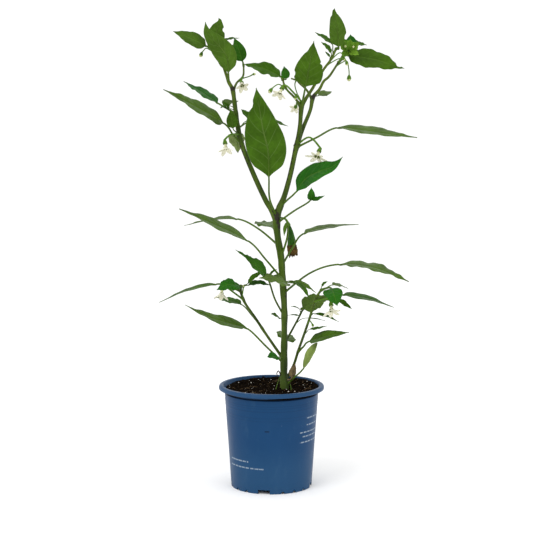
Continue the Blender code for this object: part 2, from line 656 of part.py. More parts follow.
def build_flower(name, flower, paths, parts, cutters, material):
    bend = Vector(flower.bend)
    centre = Vector(flower.centre)
    faces = Vector(flower.faces).normalized()
    start = start_clear_of(paths[flower.parent], flower.height, bend, PEDICEL_RADIUS)
    points = [start, bend, centre - faces * 0.0055, centre - faces * 0.0005]
    radii = [PEDICEL_RADIUS, PEDICEL_RADIUS, CALYX_RADIUS * 0.7, CALYX_RADIUS]
    stalk = make_tube(name, sample_path(points, radii, 10), parts, material)
    solid = mesh_from_curve(stalk, parts)
    boolean(solid, "UNION", star_corolla(name + "_corolla", flower, cutters))


def build_bud(name, bud, paths, parts, material):
    points = [Vector(point) for point in bud.points]
    start = start_clear_of(paths[bud.parent], bud.height, points[0], bud.radii[0])
    path = sample_path([start] + points, [bud.radii[0]] + list(bud.radii), 3 * len(points))
    make_tube(name, path, parts, material)


def main():
    clear_scene()
    parts = make_collection(OBJECT_NAME)
    cutters = make_collection("cutters")
    materials = make_materials()
    build_pot(parts, cutters, materials["pot_plastic"])
    build_soil(parts, cutters, materials["potting_mix"])
    paths = build_stems(parts, materials["stem_green"])
    for name, leaf in LEAVES.items():
        build_leaf(name, leaf, paths, parts, materials["leaf_green"])
    for name, flower in FLOWERS.items():
        build_flower(name, flower, paths, parts, cutters, materials["petal_cream"])
    for name, bud in BUDS.items():
        material = materials["fruit_green" if name == "young_fruit" else "bud_green"]
        build_bud(name, bud, paths, parts, material)


main()
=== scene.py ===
"""The looks of a potted chilli pepper plant: fine leaves, stems, flowers, potting mix and pot."""

import json
import math
import random
from collections import namedtuple

import bmesh
import bpy
from mathutils import Matrix, Vector, noise

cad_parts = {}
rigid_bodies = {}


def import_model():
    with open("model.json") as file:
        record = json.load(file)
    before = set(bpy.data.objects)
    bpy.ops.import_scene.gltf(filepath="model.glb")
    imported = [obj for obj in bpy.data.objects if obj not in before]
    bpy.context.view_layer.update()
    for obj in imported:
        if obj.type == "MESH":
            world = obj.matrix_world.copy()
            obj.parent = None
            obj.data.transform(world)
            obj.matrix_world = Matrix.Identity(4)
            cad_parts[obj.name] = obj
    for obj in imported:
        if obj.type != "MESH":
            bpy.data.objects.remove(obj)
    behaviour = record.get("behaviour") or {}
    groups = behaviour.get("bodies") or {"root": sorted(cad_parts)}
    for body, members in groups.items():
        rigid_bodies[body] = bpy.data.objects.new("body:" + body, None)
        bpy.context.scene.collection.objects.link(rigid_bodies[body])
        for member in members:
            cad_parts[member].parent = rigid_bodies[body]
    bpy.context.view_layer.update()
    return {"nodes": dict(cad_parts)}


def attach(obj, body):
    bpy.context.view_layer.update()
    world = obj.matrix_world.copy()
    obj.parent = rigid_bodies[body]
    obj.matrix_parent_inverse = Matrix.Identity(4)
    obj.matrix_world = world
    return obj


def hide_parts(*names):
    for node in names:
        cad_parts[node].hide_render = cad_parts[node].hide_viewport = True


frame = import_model()

# ---------------------------------------------------------------- sizes shared with the design

# Pot: a thin-walled 12 cm nursery pot with a rolled rim and a notched foot
POT_HEIGHT = 0.1168
RIM_RADIUS = 0.0600
RIM_BORE = 0.0545
LIP_HEIGHT = 0.0058
NECK_HEIGHT = 0.1100
NECK_RADIUS = 0.0535
FOOT_RADIUS = 0.0460
WALL = 0.0013
FLOOR_UNDERSIDE = 0.0060
CENTRE_DISC_RADIUS = 0.0200
CENTRE_STEP = 0.0020  # how far the step around the centre disc slopes outwards
FEATURE_START = math.radians(-11)  # first large foot notch, measured from the front
LARGE_NOTCHES = 4
LARGE_NOTCH_WIDTH = 0.0137
LARGE_NOTCH_HEIGHT = 0.0048
SMALL_NOTCH_OFFSETS = (27, 45, 63)  # degrees after each large notch
SMALL_NOTCH_RADIUS = 0.0020
SMALL_NOTCH_CENTRE = 0.0008
DRAIN_HOLES = 8
DRAIN_HOLE_RADIUS = 0.0045
DRAIN_CIRCLE = 0.0330

# Potting mix
SOIL_TOP = 0.1118
SOIL_EDGE = 0.1096

# Leaves and stalks
BLADE_WALL = 0.00035
BLADE_ACROSS = 20
BLADE_ALONG = 56
SIDE_VEINS = 7.0
VEIN_SWEEP = 1.6
STALK_RADIUS = 0.00118
MIDRIB_RADIUS = 0.00055

Stem = namedtuple("Stem", "parent height samples points")
Leaf = namedtuple("Leaf", "parent height base tip width faces rise arch fold look")
Flower = namedtuple("Flower", "parent height bend centre faces radius petals opening joined")
Bud = namedtuple("Bud", "parent height size points")

# Each shoot leaves its parent at a height; None marks the main stem, which starts in the mix and
# runs on as the right-hand branch above the fork. Points are a place and a radius.
STEMS = {
    "main_stem": Stem(None, None, 132, [(0.015, -0.013, 0.085, 0.0046), (0.015, -0.013, 0.106, 0.0046),
        (0.0139, -0.0115, 0.126, 0.0042), (0.0139, -0.0095, 0.146, 0.0037),
        (0.0143, -0.006, 0.177, 0.0034), (0.0143, -0.0025, 0.206, 0.0034), (0.0121, 0.0, 0.241, 0.0035),
        (0.0105, 0.0005, 0.263, 0.0035), (0.0072, 0.0, 0.283, 0.0036), (0.0054, 0.0, 0.303, 0.004),
        (0.0078, 0.0, 0.316, 0.0036), (0.0143, -0.001, 0.3325, 0.0031), (0.0208, -0.002, 0.356, 0.0029),
        (0.0261, -0.002, 0.381, 0.0028), (0.029, -0.003, 0.394, 0.0028), (0.0316, -0.008, 0.4126, 0.0024),
        (0.0332, -0.013, 0.433, 0.0025), (0.0385, -0.0138, 0.443, 0.0021),
        (0.0457, -0.013, 0.454, 0.0019), (0.0568, -0.011, 0.473, 0.0018), (0.0661, -0.01, 0.4857, 0.0018),
        (0.0711, -0.009, 0.4966, 0.0016)]),
    "left_branch": Stem("main_stem", 0.306, 84, [(-0.001, 0.001, 0.318, 0.003),
        (-0.0068, 0.002, 0.3275, 0.003), (-0.0192, 0.004, 0.354, 0.0029), (-0.0322, 0.006, 0.386, 0.0027),
        (-0.0373, 0.008, 0.406, 0.0025), (-0.0413, 0.01, 0.434, 0.0024), (-0.0437, 0.01, 0.451, 0.0026),
        (-0.048, 0.009, 0.4595, 0.0021), (-0.0512, 0.008, 0.469, 0.002), (-0.0554, 0.008, 0.48, 0.0019),
        (-0.0643, 0.008, 0.493, 0.0018), (-0.0685, 0.008, 0.4975, 0.0016)]),
    "right_outer_branch": Stem("main_stem", 0.388, 60, [(0.0352, 0.004, 0.4085, 0.0023),
        (0.0434, 0.012, 0.428, 0.0021), (0.0465, 0.017, 0.442, 0.0024), (0.0538, 0.02, 0.451, 0.0019),
        (0.0588, 0.024, 0.46, 0.0018), (0.0654, 0.026, 0.466, 0.0017), (0.0755, 0.03, 0.481, 0.0015)]),
    "left_side_shoot": Stem("left_branch", 0.449, 30, [(-0.0395, 0.014, 0.458, 0.0013),
        (-0.0355, 0.018, 0.462, 0.0013), (-0.0318, 0.02, 0.467, 0.0013),
        (-0.0314, 0.022, 0.477, 0.0011)]),
    "centre_shoot": Stem("main_stem", 0.433, 30, [(0.0247, -0.018, 0.444, 0.0013),
        (0.0174, -0.022, 0.4515, 0.0012), (0.0136, -0.024, 0.4585, 0.0012),
        (0.0125, -0.024, 0.463, 0.0011)]),
    "inner_side_shoot": Stem("right_outer_branch", 0.44, 30, [(0.0391, 0.01, 0.451, 0.0013),
        (0.0317, 0.004, 0.458, 0.0012), (0.0283, 0.001, 0.4615, 0.0012), (0.0218, -0.003, 0.464, 0.001)]),
    "front_shoot": Stem("main_stem", 0.196, 30, [(0.0041, -0.006, 0.2153, 0.001),
        (-0.0014, -0.012, 0.233, 0.001), (-0.0042, -0.016, 0.2415, 0.0009)]),
    "lower_left_shoot": Stem("main_stem", 0.147, 48, [(-0.0052, -0.004, 0.174, 0.0015),
        (-0.0173, -0.007, 0.193, 0.0015), (-0.0286, -0.01, 0.21, 0.0014),
        (-0.0323, -0.011, 0.218, 0.0015), (-0.0346, -0.012, 0.2255, 0.0014),
        (-0.0344, -0.012, 0.2315, 0.0012)]),
    "lower_right_shoot": Stem("main_stem", 0.121, 54, [(0.0244, -0.004, 0.138, 0.0015),
        (0.0304, -0.01, 0.158, 0.0014), (0.0373, -0.015, 0.179, 0.0014), (0.0432, -0.019, 0.198, 0.0013),
        (0.0471, -0.022, 0.213, 0.0013), (0.0509, -0.024, 0.222, 0.0014),
        (0.0552, -0.025, 0.229, 0.0012)]),
    "back_right_shoot": Stem("main_stem", 0.164, 30, [(0.0277, 0.014, 0.185, 0.0011),
        (0.0329, 0.02, 0.194, 0.0011), (0.0361, 0.024, 0.2, 0.001)]),
}

# How a leaf is finished: colour from 0 (deep green) to 1 (pale), waviness of the margin, twist in
# degrees along the blade, bends of the midline as (place, sideways, upwards), bites as (side,
# place, depth, length), how far the middle of the stalk is pushed aside, the two exponents of the
# outline, the stalk's thickness where it is not in step with the blade, and the young green
WIDEST_AT = (0.75, 1.25)
SLENDER = (0.55, 1.25)  # widest nearer to the stalk
Look = namedtuple("Look", "tone wave twist bends bites lean outline stalk young", defaults=(
    0.0, (), (), (0.0, 0.0, 0.0), WIDEST_AT, None, False))

# Base and tip of the blade are places and "faces" is where its upper side looks; rise lifts the
# stalk, arch lifts the blade and fold is how far its halves fold up. A leaf whose height is None
# stands on the end of its shoot.
LEAVES = {
    "leaf_top_left_outer": Leaf("left_branch", 0.495, (-0.0725, 0.008, 0.4995), (-0.1097, 0.003, 0.516),
        0.021, (0.3, -0.7, 0.65), 0.0, 0.001, 0.15, Look(0.55, 0.02)),
    "leaf_top_left_upright": Leaf("left_branch", 0.49, (-0.063, 0.015, 0.5), (-0.0592, 0.017, 0.531),
        0.0195, (0.1, 0.95, 0.1), 0.0, -0.002, 0.2, Look(0.48, 0.04, bends=((0.45, 0.0005, -0.002),
        (0.85, -0.0015, 0.0)), bites=((-1, 0.62, 0.25, 0.06),))),
    "leaf_top_left_front": Leaf("left_branch", 0.46, (-0.0482, 0.001, 0.469), (-0.0737, 0.0, 0.5265),
        0.024, (0.0, 0.97, 0.1), 0.0, -0.002, 0.2, Look(0.5, 0.03, bends=((0.28, -0.0062, -0.002),
        (0.5, -0.0038, -0.002), (0.64, -0.0006, -0.001), (0.82, 0.0024, 0.0)))),
    "leaf_left_side_shoot": Leaf("left_side_shoot", None, (-0.0325, 0.022, 0.482), (-0.042, 0.018, 0.509),
        0.015, (0.1, -0.9, 0.3), 0.0, 0.002, 0.25, Look(0.2, 0.03)),
    "leaf_centre_shoot": Leaf("centre_shoot", None, (0.0105, -0.022, 0.4665), (-0.031, -0.014, 0.48),
        0.0215, (0.2, -0.6, 0.8), 0.0, 0.002, 0.25, Look(0.4, 0.04, bends=((0.5, 0.0, 0.003),),
        bites=((-1, 0.32, 0.25, 0.05),))),
    "leaf_right_front": Leaf("main_stem", 0.434, (0.037, -0.028, 0.455), (0.046, -0.04, 0.506), 0.032,
        (0.0, 0.97, 0.1), 0.0, -0.003, 0.15, Look(0.45, 0.04, twist=6, bites=((-1, 0.56, 0.12, 0.02),
        (-1, 0.44, 0.06, 0.03), (1, 0.78, 0.15, 0.05), (1, 0.27, 0.1, 0.05)), outline=(0.66, 1.45))),
    "leaf_top_right_upright": Leaf("main_stem", None, (0.074, -0.012, 0.4985), (0.069, -0.02, 0.541),
        0.019, (0.1, 0.95, 0.1), 0.0, -0.002, 0.2, Look(0.5, 0.03, bends=((0.5, -0.0006, -0.002),
        (0.86, 0.0012, 0.0)), bites=((1, 0.86, 0.3, 0.06), (-1, 0.23, 0.24, 0.1)), outline=(0.5, 1.0))),
    "leaf_top_right_outer": Leaf("right_outer_branch", None, (0.0845, 0.018, 0.4893),
        (0.148, 0.004, 0.475), 0.026, (0.0, -0.75, 0.65), 0.0, 0.0035, 0.15, Look(0.5, 0.04,
        bends=((0.5, 0.0, 0.0035), (0.85, 0.0, 0.0005)), bites=((-1, 0.89, 0.85, 0.04),))),
    "leaf_upper_right_long": Leaf("main_stem", 0.387, (0.0715, -0.02, 0.41), (0.159, -0.048, 0.401), 0.03,
        (0.03, -0.21, 0.98), 0.0, 0.002, 0.2, Look(0.6, 0.012, bends=((0.3, 0.0006, 0.001),
        (0.6, 0.0015, 0.0006), (0.85, 0.0012, 0.0)))),
    "leaf_fork_right": Leaf("main_stem", 0.32, (0.0265, -0.018, 0.338), (0.078, -0.042, 0.3795), 0.03,
        (-0.45, -0.6, 0.65), 0.0, 0.003, 0.2, Look(0.0, 0.02, bends=((0.25, -0.0062, 0.002),
        (0.52, -0.0012, 0.003), (0.8, 0.004, 0.001)))),
    "leaf_fork_right_front": Leaf("main_stem", 0.301, (0.042, -0.026, 0.329), (0.0439, -0.034, 0.345),
        0.0095, (0.3, -0.9, 0.2), 0.001, 0.002, 0.3, Look(0.1, 0.04, stalk=0.95)),
    "leaf_front_large": Leaf("main_stem", 0.309, (-0.003, -0.03, 0.354), (-0.017, -0.042, 0.455), 0.044,
        (0.0, 0.97, 0.1), -0.001, -0.004, 0.12, Look(0.4, 0.02, bends=((0.3, -0.0034, -0.002),
        (0.55, -0.0012, -0.004), (0.8, -0.0006, -0.002)), bites=((1, 0.82, 0.22, 0.04),),
        lean=(-0.0036, 0.0, 0.0))),
    "leaf_centre_back": Leaf("left_branch", 0.408, (-0.018, 0.026, 0.418), (0.019, 0.034, 0.409), 0.015,
        (0.0, -0.3, 0.95), 0.001, 0.002, 0.2, Look(0.45, 0.03)),
    "leaf_upper_left_long": Leaf("left_branch", 0.39, (-0.053, 0.004, 0.4135), (-0.1185, -0.04, 0.453),
        0.028, (0.64, -0.34, 0.69), -0.001, 0.001, 0.22, Look(0.58, 0.02, outline=SLENDER)),
    "leaf_upper_left_back": Leaf("left_branch", 0.424, (-0.06, 0.026, 0.435), (-0.1005, 0.052, 0.459),
        0.02, (0.32, -0.33, 0.89), 0.0, 0.001, 0.2, Look(0.0, 0.03)),
    "leaf_left_away": Leaf("left_branch", 0.436, (-0.042, 0.024, 0.438), (-0.0545, 0.046, 0.43), 0.018,
        (0.0, 0.3, 0.95), 0.0, 0.002, 0.2, Look(0.65, 0.03)),
    "leaf_left_hanging": Leaf("left_branch", 0.397, (-0.04, 0.024, 0.402), (-0.0385, 0.05, 0.377), 0.019,
        (0.0, 0.6, 0.8), 0.001, 0.003, 0.2, Look(1.0, 0.08)),
    "leaf_middle_left_long": Leaf("main_stem", 0.238, (-0.0255, -0.02, 0.2835), (-0.1015, -0.052, 0.323),
        0.028, (0.25, -0.3, 0.9), 0.001, 0.001, 0.22, Look(0.6, 0.02)),
    "leaf_middle_left_back": Leaf("main_stem", 0.276, (-0.038, 0.022, 0.304), (-0.101, 0.06, 0.2925),
        0.02, (0.0, -0.12, 1.0), 0.004, 0.003, 0.2, Look(0.62, 0.03)),
    "leaf_front_shoot": Leaf("front_shoot", None, (-0.005, -0.021, 0.2445), (-0.04, -0.036, 0.276),
        0.0225, (0.3, -0.5, 0.8), 0.0, 0.001, 0.3, Look(0.25, 0.04, bites=((1, 0.5, 0.25, 0.045),
        (1, 0.74, 0.4, 0.05), (-1, 0.8, 0.35, 0.06)), outline=(0.42, 1.5))),
    "leaf_centre_front_left": Leaf("main_stem", 0.23, (0.0196, -0.024, 0.2352), (-0.0141, -0.04, 0.2449),
        0.026, (0.36, -0.21, 0.91), 0.001, 0.002, 0.2, Look(0.76, 0.04)),
    "leaf_centre_front_right": Leaf("main_stem", 0.234, (0.025, -0.022, 0.2385), (0.042, -0.046, 0.223),
        0.008, (0.3, -0.4, 0.85), 0.001, 0.003, 0.2, Look(0.4, 0.04)),
    "leaf_middle_right_back": Leaf("main_stem", 0.253, (0.036, 0.018, 0.2875), (0.101, 0.058, 0.294),
        0.022, (-0.1, -0.12, 1.0), 0.002, 0.003, 0.2, Look(0.62, 0.02, outline=SLENDER)),
    "leaf_middle_right_long": Leaf("main_stem", 0.222, (0.074, -0.028, 0.2585), (0.15, -0.066, 0.2445),
        0.03, (0.11, -0.14, 0.98), 0.007, 0.006, 0.2, Look(0.62, 0.03)),
    "leaf_middle_away": Leaf("main_stem", 0.266, (0.0027, 0.024, 0.2928), (-0.0158, 0.078, 0.2944), 0.028,
        (0.0, -0.1, 0.995), 0.002, 0.002, 0.2, Look(0.6, 0.04)),
    "leaf_lower_left_long": Leaf("main_stem", 0.143, (-0.0265, -0.022, 0.1845), (-0.0955, -0.054, 0.217),
        0.024, (0.49, -0.19, 0.85), 0.0, 0.001, 0.22, Look(0.58, 0.018, bends=((0.25, 0.0, -0.0016),
        (0.55, 0.0, -0.0032), (0.8, 0.0, -0.002)), outline=SLENDER)),
    "leaf_left_shoot_round": Leaf("lower_left_shoot", None, (-0.035, -0.018, 0.2335),
        (-0.0615, -0.032, 0.23), 0.019, (-0.1, -0.65, 0.75), 0.0, 0.0055, 0.15, Look(0.05, 0.05)),
    "leaf_left_shoot_long": Leaf("lower_left_shoot", 0.226, (-0.062, 0.006, 0.2315),
        (-0.129, 0.028, 0.207), 0.015, (0.0, -0.2, 0.97), 0.001, 0.004, 0.2, Look(0.45, 0.015)),
    "leaf_left_shoot_low": Leaf("lower_left_shoot", 0.182, (-0.0335, 0.01, 0.207), (-0.0655, 0.03, 0.213),
        0.014, (0.1, -0.3, 0.95), 0.001, 0.001, 0.2, Look(0.35, 0.03)),
    "leaf_right_shoot_front": Leaf("lower_right_shoot", None, (0.066, -0.036, 0.233),
        (0.072, -0.063, 0.217), 0.022, (0.0, -0.6, 0.8), 0.001, 0.003, 0.15, Look(0.05, 0.04)),
    "leaf_right_shoot_long": Leaf("lower_right_shoot", 0.218, (0.079, -0.014, 0.2225),
        (0.1395, 0.008, 0.2045), 0.02, (0.0, -0.25, 0.96), 0.001, 0.003, 0.2, Look(0.35, 0.015)),
    "leaf_right_shoot_low": Leaf("lower_right_shoot", 0.156, (0.042, -0.02, 0.17), (0.086, -0.042, 0.184),
        0.019, (-0.44, -0.35, 0.83), 0.0, 0.002, 0.25, Look(0.52, 0.012, outline=SLENDER)),
    "leaf_back_right_shoot": Leaf("back_right_shoot", None, (0.035, 0.02, 0.2015), (0.066, 0.028, 0.214),
        0.024, (-0.15, -0.7, 0.7), 0.0, 0.001, 0.2, Look(0.7, 0.05)),
    "leaf_base_young": Leaf("main_stem", 0.1165, (0.035, -0.018, 0.1375), (0.0515, -0.025, 0.1695),
        0.0122, (-0.75, -0.63, 0.18), 0.0, 0.001, 0.45, Look(1.0, 0.02, outline=(1.05, 0.78), stalk=0.9)),
    "leaf_lower_away": Leaf("main_stem", 0.162, (0.017, 0.016, 0.1637), (0.015, 0.06, 0.1655), 0.024,
        (0.35, 0.1, 0.93), 0.001, 0.002, 0.2, Look(0.6, 0.04)),
}

# Leaves too small to be parts of their own in the design
SMALL_LEAVES = {
    "small_leaf_top_left_a": Leaf("left_branch", 0.49, (-0.055, 0.018, 0.5045), (-0.036, 0.024, 0.5085),
        0.008, (0.0, -0.25, 0.97), 0.001, 0.001, 0.35, Look(0.4, 0.04)),
    "small_leaf_top_left_b": Leaf("left_branch", 0.48, (-0.05, 0.006, 0.499), (-0.0385, 0.004, 0.501),
        0.004, (0.0, -0.3, 0.95), 0.001, 0.0, 0.35, Look(0.4, 0.04)),
    "small_leaf_centre_dark": Leaf("centre_shoot", None, (0.016, -0.022, 0.464), (0.0135, -0.026, 0.478),
        0.01, (0.1, -0.9, 0.2), 0.0, 0.001, 0.25, Look(0.1, 0.04)),
    "small_leaf_right_pale": Leaf("right_outer_branch", 0.443, (0.053, 0.026, 0.444),
        (0.069, 0.046, 0.4475), 0.011, (0.1, -0.55, 0.8), 0.0, 0.001, 0.15, Look(0.75, 0.04)),
    "small_leaf_top_right_a": Leaf("main_stem", 0.49, (0.067, -0.006, 0.502), (0.048, -0.001, 0.515),
        0.01, (0.5, -0.5, 0.7), 0.0, 0.001, 0.25, Look(0.4, 0.04)),
    "small_leaf_top_right_b": Leaf("main_stem", 0.485, (0.066, -0.011, 0.492), (0.0545, -0.012, 0.5045),
        0.009, (0.6, -0.5, 0.6), 0.0, 0.001, 0.3, Look(0.4, 0.04)),
    "small_leaf_top_right_c": Leaf("main_stem", 0.483, (0.0645, -0.012, 0.488), (0.059, -0.013, 0.494),
        0.004, (0.4, -0.6, 0.7), 0.0, 0.0, 0.2, Look(0.4, 0.04)),
    "small_leaf_crown_right": Leaf("right_outer_branch", None, (0.086, 0.028, 0.5),
        (0.108, 0.033, 0.5005), 0.012, (0.0, -0.5, 0.85), 0.0, 0.002, 0.25, Look(0.4, 0.04)),
    "small_leaf_crown_blue": Leaf("right_outer_branch", None, (0.089, 0.022, 0.496),
        (0.0885, 0.02, 0.5125), 0.014, (0.2, -0.9, 0.3), 0.0, 0.002, 0.25, Look(0.0, 0.04)),
    "small_leaf_crown_a": Leaf("right_outer_branch", None, (0.085, 0.01, 0.4945), (0.0755, 0.004, 0.504),
        0.012, (-0.3, -0.7, 0.6), 0.0, 0.001, 0.3, Look(0.8, 0.04, young=True)),
    "small_leaf_crown_b": Leaf("right_outer_branch", None, (0.086, 0.009, 0.494), (0.0875, 0.002, 0.5075),
        0.013, (0.1, -0.8, 0.5), 0.0, 0.001, 0.3, Look(0.62, 0.04, young=True)),
    "small_leaf_crown_c": Leaf("right_outer_branch", None, (0.087, 0.01, 0.4935), (0.0975, 0.004, 0.5035),
        0.0125, (0.3, -0.7, 0.6), 0.0, 0.001, 0.25, Look(0.76, 0.04, young=True)),
    "small_leaf_crown_d": Leaf("right_outer_branch", None, (0.0855, 0.007, 0.493), (0.0785, 0.001, 0.487),
        0.009, (-0.2, -0.8, 0.5), 0.0, 0.001, 0.3, Look(0.48, 0.04, young=True)),
    "small_leaf_crown_e": Leaf("right_outer_branch", None, (0.087, 0.006, 0.493), (0.097, -0.001, 0.49),
        0.0105, (0.2, -0.7, 0.6), 0.0, 0.001, 0.25, Look(0.85, 0.04, young=True)),
    "small_leaf_crown_f": Leaf("right_outer_branch", None, (0.085, 0.014, 0.495), (0.079, 0.012, 0.5085),
        0.012, (-0.2, -0.8, 0.5), 0.0, 0.001, 0.3, Look(0.2, 0.04, young=True)),
    "small_leaf_behind_front": Leaf("left_branch", 0.406, (-0.025, 0.022, 0.418),
        (-0.0345, 0.026, 0.4285), 0.009, (0.3, -0.6, 0.7), 0.002, 0.001, 0.25, Look(0.4, 0.04)),
    "small_leaf_left_upright": Leaf("left_branch", 0.4, (-0.043, -0.003, 0.408), (-0.0455, -0.008, 0.43),
        0.013, (0.1, 0.9, 0.1), 0.0, -0.001, 0.2, Look(0.4, 0.04)),
    "small_leaf_left_shoot_up": Leaf("lower_left_shoot", None, (-0.027, -0.015, 0.235),
        (-0.008, -0.022, 0.2505), 0.008, (-0.4, -0.6, 0.7), 0.0, 0.001, 0.55, Look(0.4, 0.04)),
    "small_leaf_left_shoot_right": Leaf("lower_left_shoot", None, (-0.027, -0.013, 0.233),
        (-0.001, -0.018, 0.2335), 0.012, (0.0, -0.3, 0.95), 0.0, 0.002, 0.4, Look(0.25, 0.04)),
    "small_leaf_trunk_front": Leaf("main_stem", 0.233, (0.0175, -0.016, 0.2365), (0.0495, -0.03, 0.227),
        0.01, (0.0, -0.3, 0.95), 0.001, 0.005, 0.25, Look(0.6, 0.04)),
    "small_leaf_fork_tail": Leaf("main_stem", 0.301, (0.043, -0.028, 0.33), (0.0584, -0.036, 0.3361),
        0.0065, (-0.3, -0.6, 0.75), 0.0, -0.0012, 0.25, Look(0.1, 0.04)),
    "small_leaf_fork_low": Leaf("main_stem", 0.262, (0.0178, -0.013, 0.3035), (0.014, -0.017, 0.289),
        0.006, (-0.7, -0.6, 0.4), 0.0, 0.001, 0.25, Look(0.55, 0.03, lean=(0.0035, 0.0, 0.004),
        stalk=1.05)),
    "small_leaf_trunk_low": Leaf("main_stem", 0.149, (0.008, -0.019, 0.152), (-0.005, -0.03, 0.154),
        0.013, (0.1, -0.55, 0.8), 0.0, 0.001, 0.25, Look(0.0, 0.04)),
    "small_leaf_trunk_left": Leaf("main_stem", 0.193, (0.0095, -0.013, 0.1955), (-0.001, -0.024, 0.202),
        0.009, (0.2, -0.45, 0.85), 0.0, 0.001, 0.2, Look(0.4, 0.04)),
    "small_leaf_right_shoot_pale": Leaf("lower_right_shoot", None, (0.068, -0.018, 0.234),
        (0.087, 0.002, 0.227), 0.011, (0.0, -0.4, 0.9), 0.0, 0.002, 0.15, Look(0.75, 0.04)),
    "small_leaf_right_shoot_dark": Leaf("lower_right_shoot", 0.217, (0.074, -0.019, 0.217),
        (0.0905, -0.014, 0.206), 0.008, (0.3, -0.6, 0.7), 0.0, 0.001, 0.3, Look(0.4, 0.04)),
    "small_leaf_right_shoot_thin": Leaf("lower_right_shoot", 0.198, (0.048, -0.016, 0.201),
        (0.076, -0.012, 0.191), 0.006, (0.2, -0.4, 0.9), 0.001, 0.002, 0.35, Look(0.4, 0.04)),
    "small_leaf_right_shoot_hair": Leaf("back_right_shoot", 0.184, (0.04, 0.006, 0.1925),
        (0.061, 0.002, 0.19), 0.002, (0.0, -0.3, 0.95), 0.002, 0.001, 0.1, Look(0.4, 0.04)),
    "small_leaf_right_shoot_bud": Leaf("lower_right_shoot", 0.176, (0.0425, -0.021, 0.184),
        (0.062, -0.028, 0.189), 0.007, (0.0, -0.3, 0.95), 0.0, -0.001, 0.3, Look(0.4, 0.04)),
    "small_leaf_right_shoot_tip": Leaf("lower_right_shoot", None, (0.056, -0.024, 0.233),
        (0.0625, -0.026, 0.239), 0.005, (-0.5, -0.5, 0.7), 0.0, 0.001, 0.3, Look(0.4, 0.04)),
    "small_leaf_back_shoot_a": Leaf("back_right_shoot", 0.195, (0.032, 0.018, 0.201),
        (0.022, 0.012, 0.205), 0.003, (0.2, -0.3, 0.9), 0.001, 0.001, 0.2, Look(0.4, 0.04)),
    "small_leaf_back_shoot_b": Leaf("back_right_shoot", 0.193, (0.032, 0.026, 0.192),
        (0.019, 0.034, 0.191), 0.003, (0.0, -0.3, 0.9), 0.002, 0.001, 0.2, Look(0.4, 0.04)),
    "small_leaf_left_knot_a": Leaf("left_branch", 0.43, (-0.05, 0.016, 0.433), (-0.058, 0.02, 0.43),
        0.007, (0.0, -0.5, 0.8), 0.001, 0.001, 0.25, Look(0.4, 0.04)),
    "small_leaf_left_knot_b": Leaf("left_branch", 0.426, (-0.047, 0.014, 0.43), (-0.056, 0.013, 0.437),
        0.006, (0.3, -0.6, 0.7), 0.001, 0.001, 0.25, Look(0.4, 0.04)),
    "small_leaf_front_shoot_tip": Leaf("front_shoot", None, (-0.003, -0.02, 0.245),
        (0.006, -0.026, 0.253), 0.004, (-0.3, -0.6, 0.7), 0.0, 0.001, 0.2, Look(0.4, 0.04)),
}

# Bend of the flower's stalk, middle of the flower, where it faces, its size, how far it opens (1 is
# flat) and how much of the petals is joined
FLOWERS = {
    "flower_left_top": Flower("left_side_shoot", 0.461, (-0.032, 0.013, 0.4655), (-0.033, 0.004, 0.457),
        (0.15, -0.75, -0.65), 0.01003, 5, 0.62, 0.6),
    "flower_centre": Flower("main_stem", 0.437, (0.0185, -0.029, 0.455), (0.0102, -0.031, 0.4515),
        (-0.4, -0.45, -0.78), 0.012325, 5, 0.58, 0.58),
    "flower_behind_right": Flower("main_stem", 0.429, (0.028, 0.0, 0.437), (0.0265, 0.007, 0.431),
        (-0.2, 0.8, -0.5), 0.0075, 5, 0.7, 0.5),
    "flower_right": Flower("main_stem", 0.39, (0.042, -0.011, 0.399), (0.052, -0.014, 0.3815),
        (-0.3, -0.46, -0.83), 0.01593, 6, 0.78, 0.45),
    "flower_left": Flower("left_branch", 0.401, (-0.0455, -0.01, 0.402), (-0.0515, -0.012, 0.39),
        (0.1, -0.42, -0.9), 0.01275, 5, 0.56, 0.58),
    "flower_lower_left": Flower("lower_left_shoot", 0.216, (-0.05, -0.012, 0.23),
        (-0.0558, -0.013, 0.226), (-0.1, -0.42, -0.9), 0.012325, 5, 0.54, 0.6),
    "flower_lower_right": Flower("lower_right_shoot", 0.216, (0.061, -0.031, 0.22),
        (0.0665, -0.036, 0.2115), (0.08, -0.5, -0.86), 0.014375, 6, 0.66, 0.52),
}

# Buds hang on a stalk through these places; the last one is the bud's own
BUDS = {
    "bud_top_left": Bud("left_branch", 0.492, 0.0023, [(-0.0725, 0.015, 0.497), (-0.076, 0.0165, 0.495),
        (-0.0785, 0.017, 0.4915), (-0.0795, 0.017, 0.489)]),
    "bud_centre": Bud("centre_shoot", 0.45, 0.0024, [(0.009, -0.029, 0.458), (0.0035, -0.031, 0.4565),
        (0.0, -0.032, 0.4535), (-0.002, -0.032, 0.4505)]),
    "bud_top_right": Bud("right_outer_branch", 0.477, 0.0026, [(0.084, 0.019, 0.483),
        (0.0865, 0.015, 0.475), (0.087, 0.014, 0.469), (0.087, 0.014, 0.465), (0.087, 0.014, 0.4625)]),
}

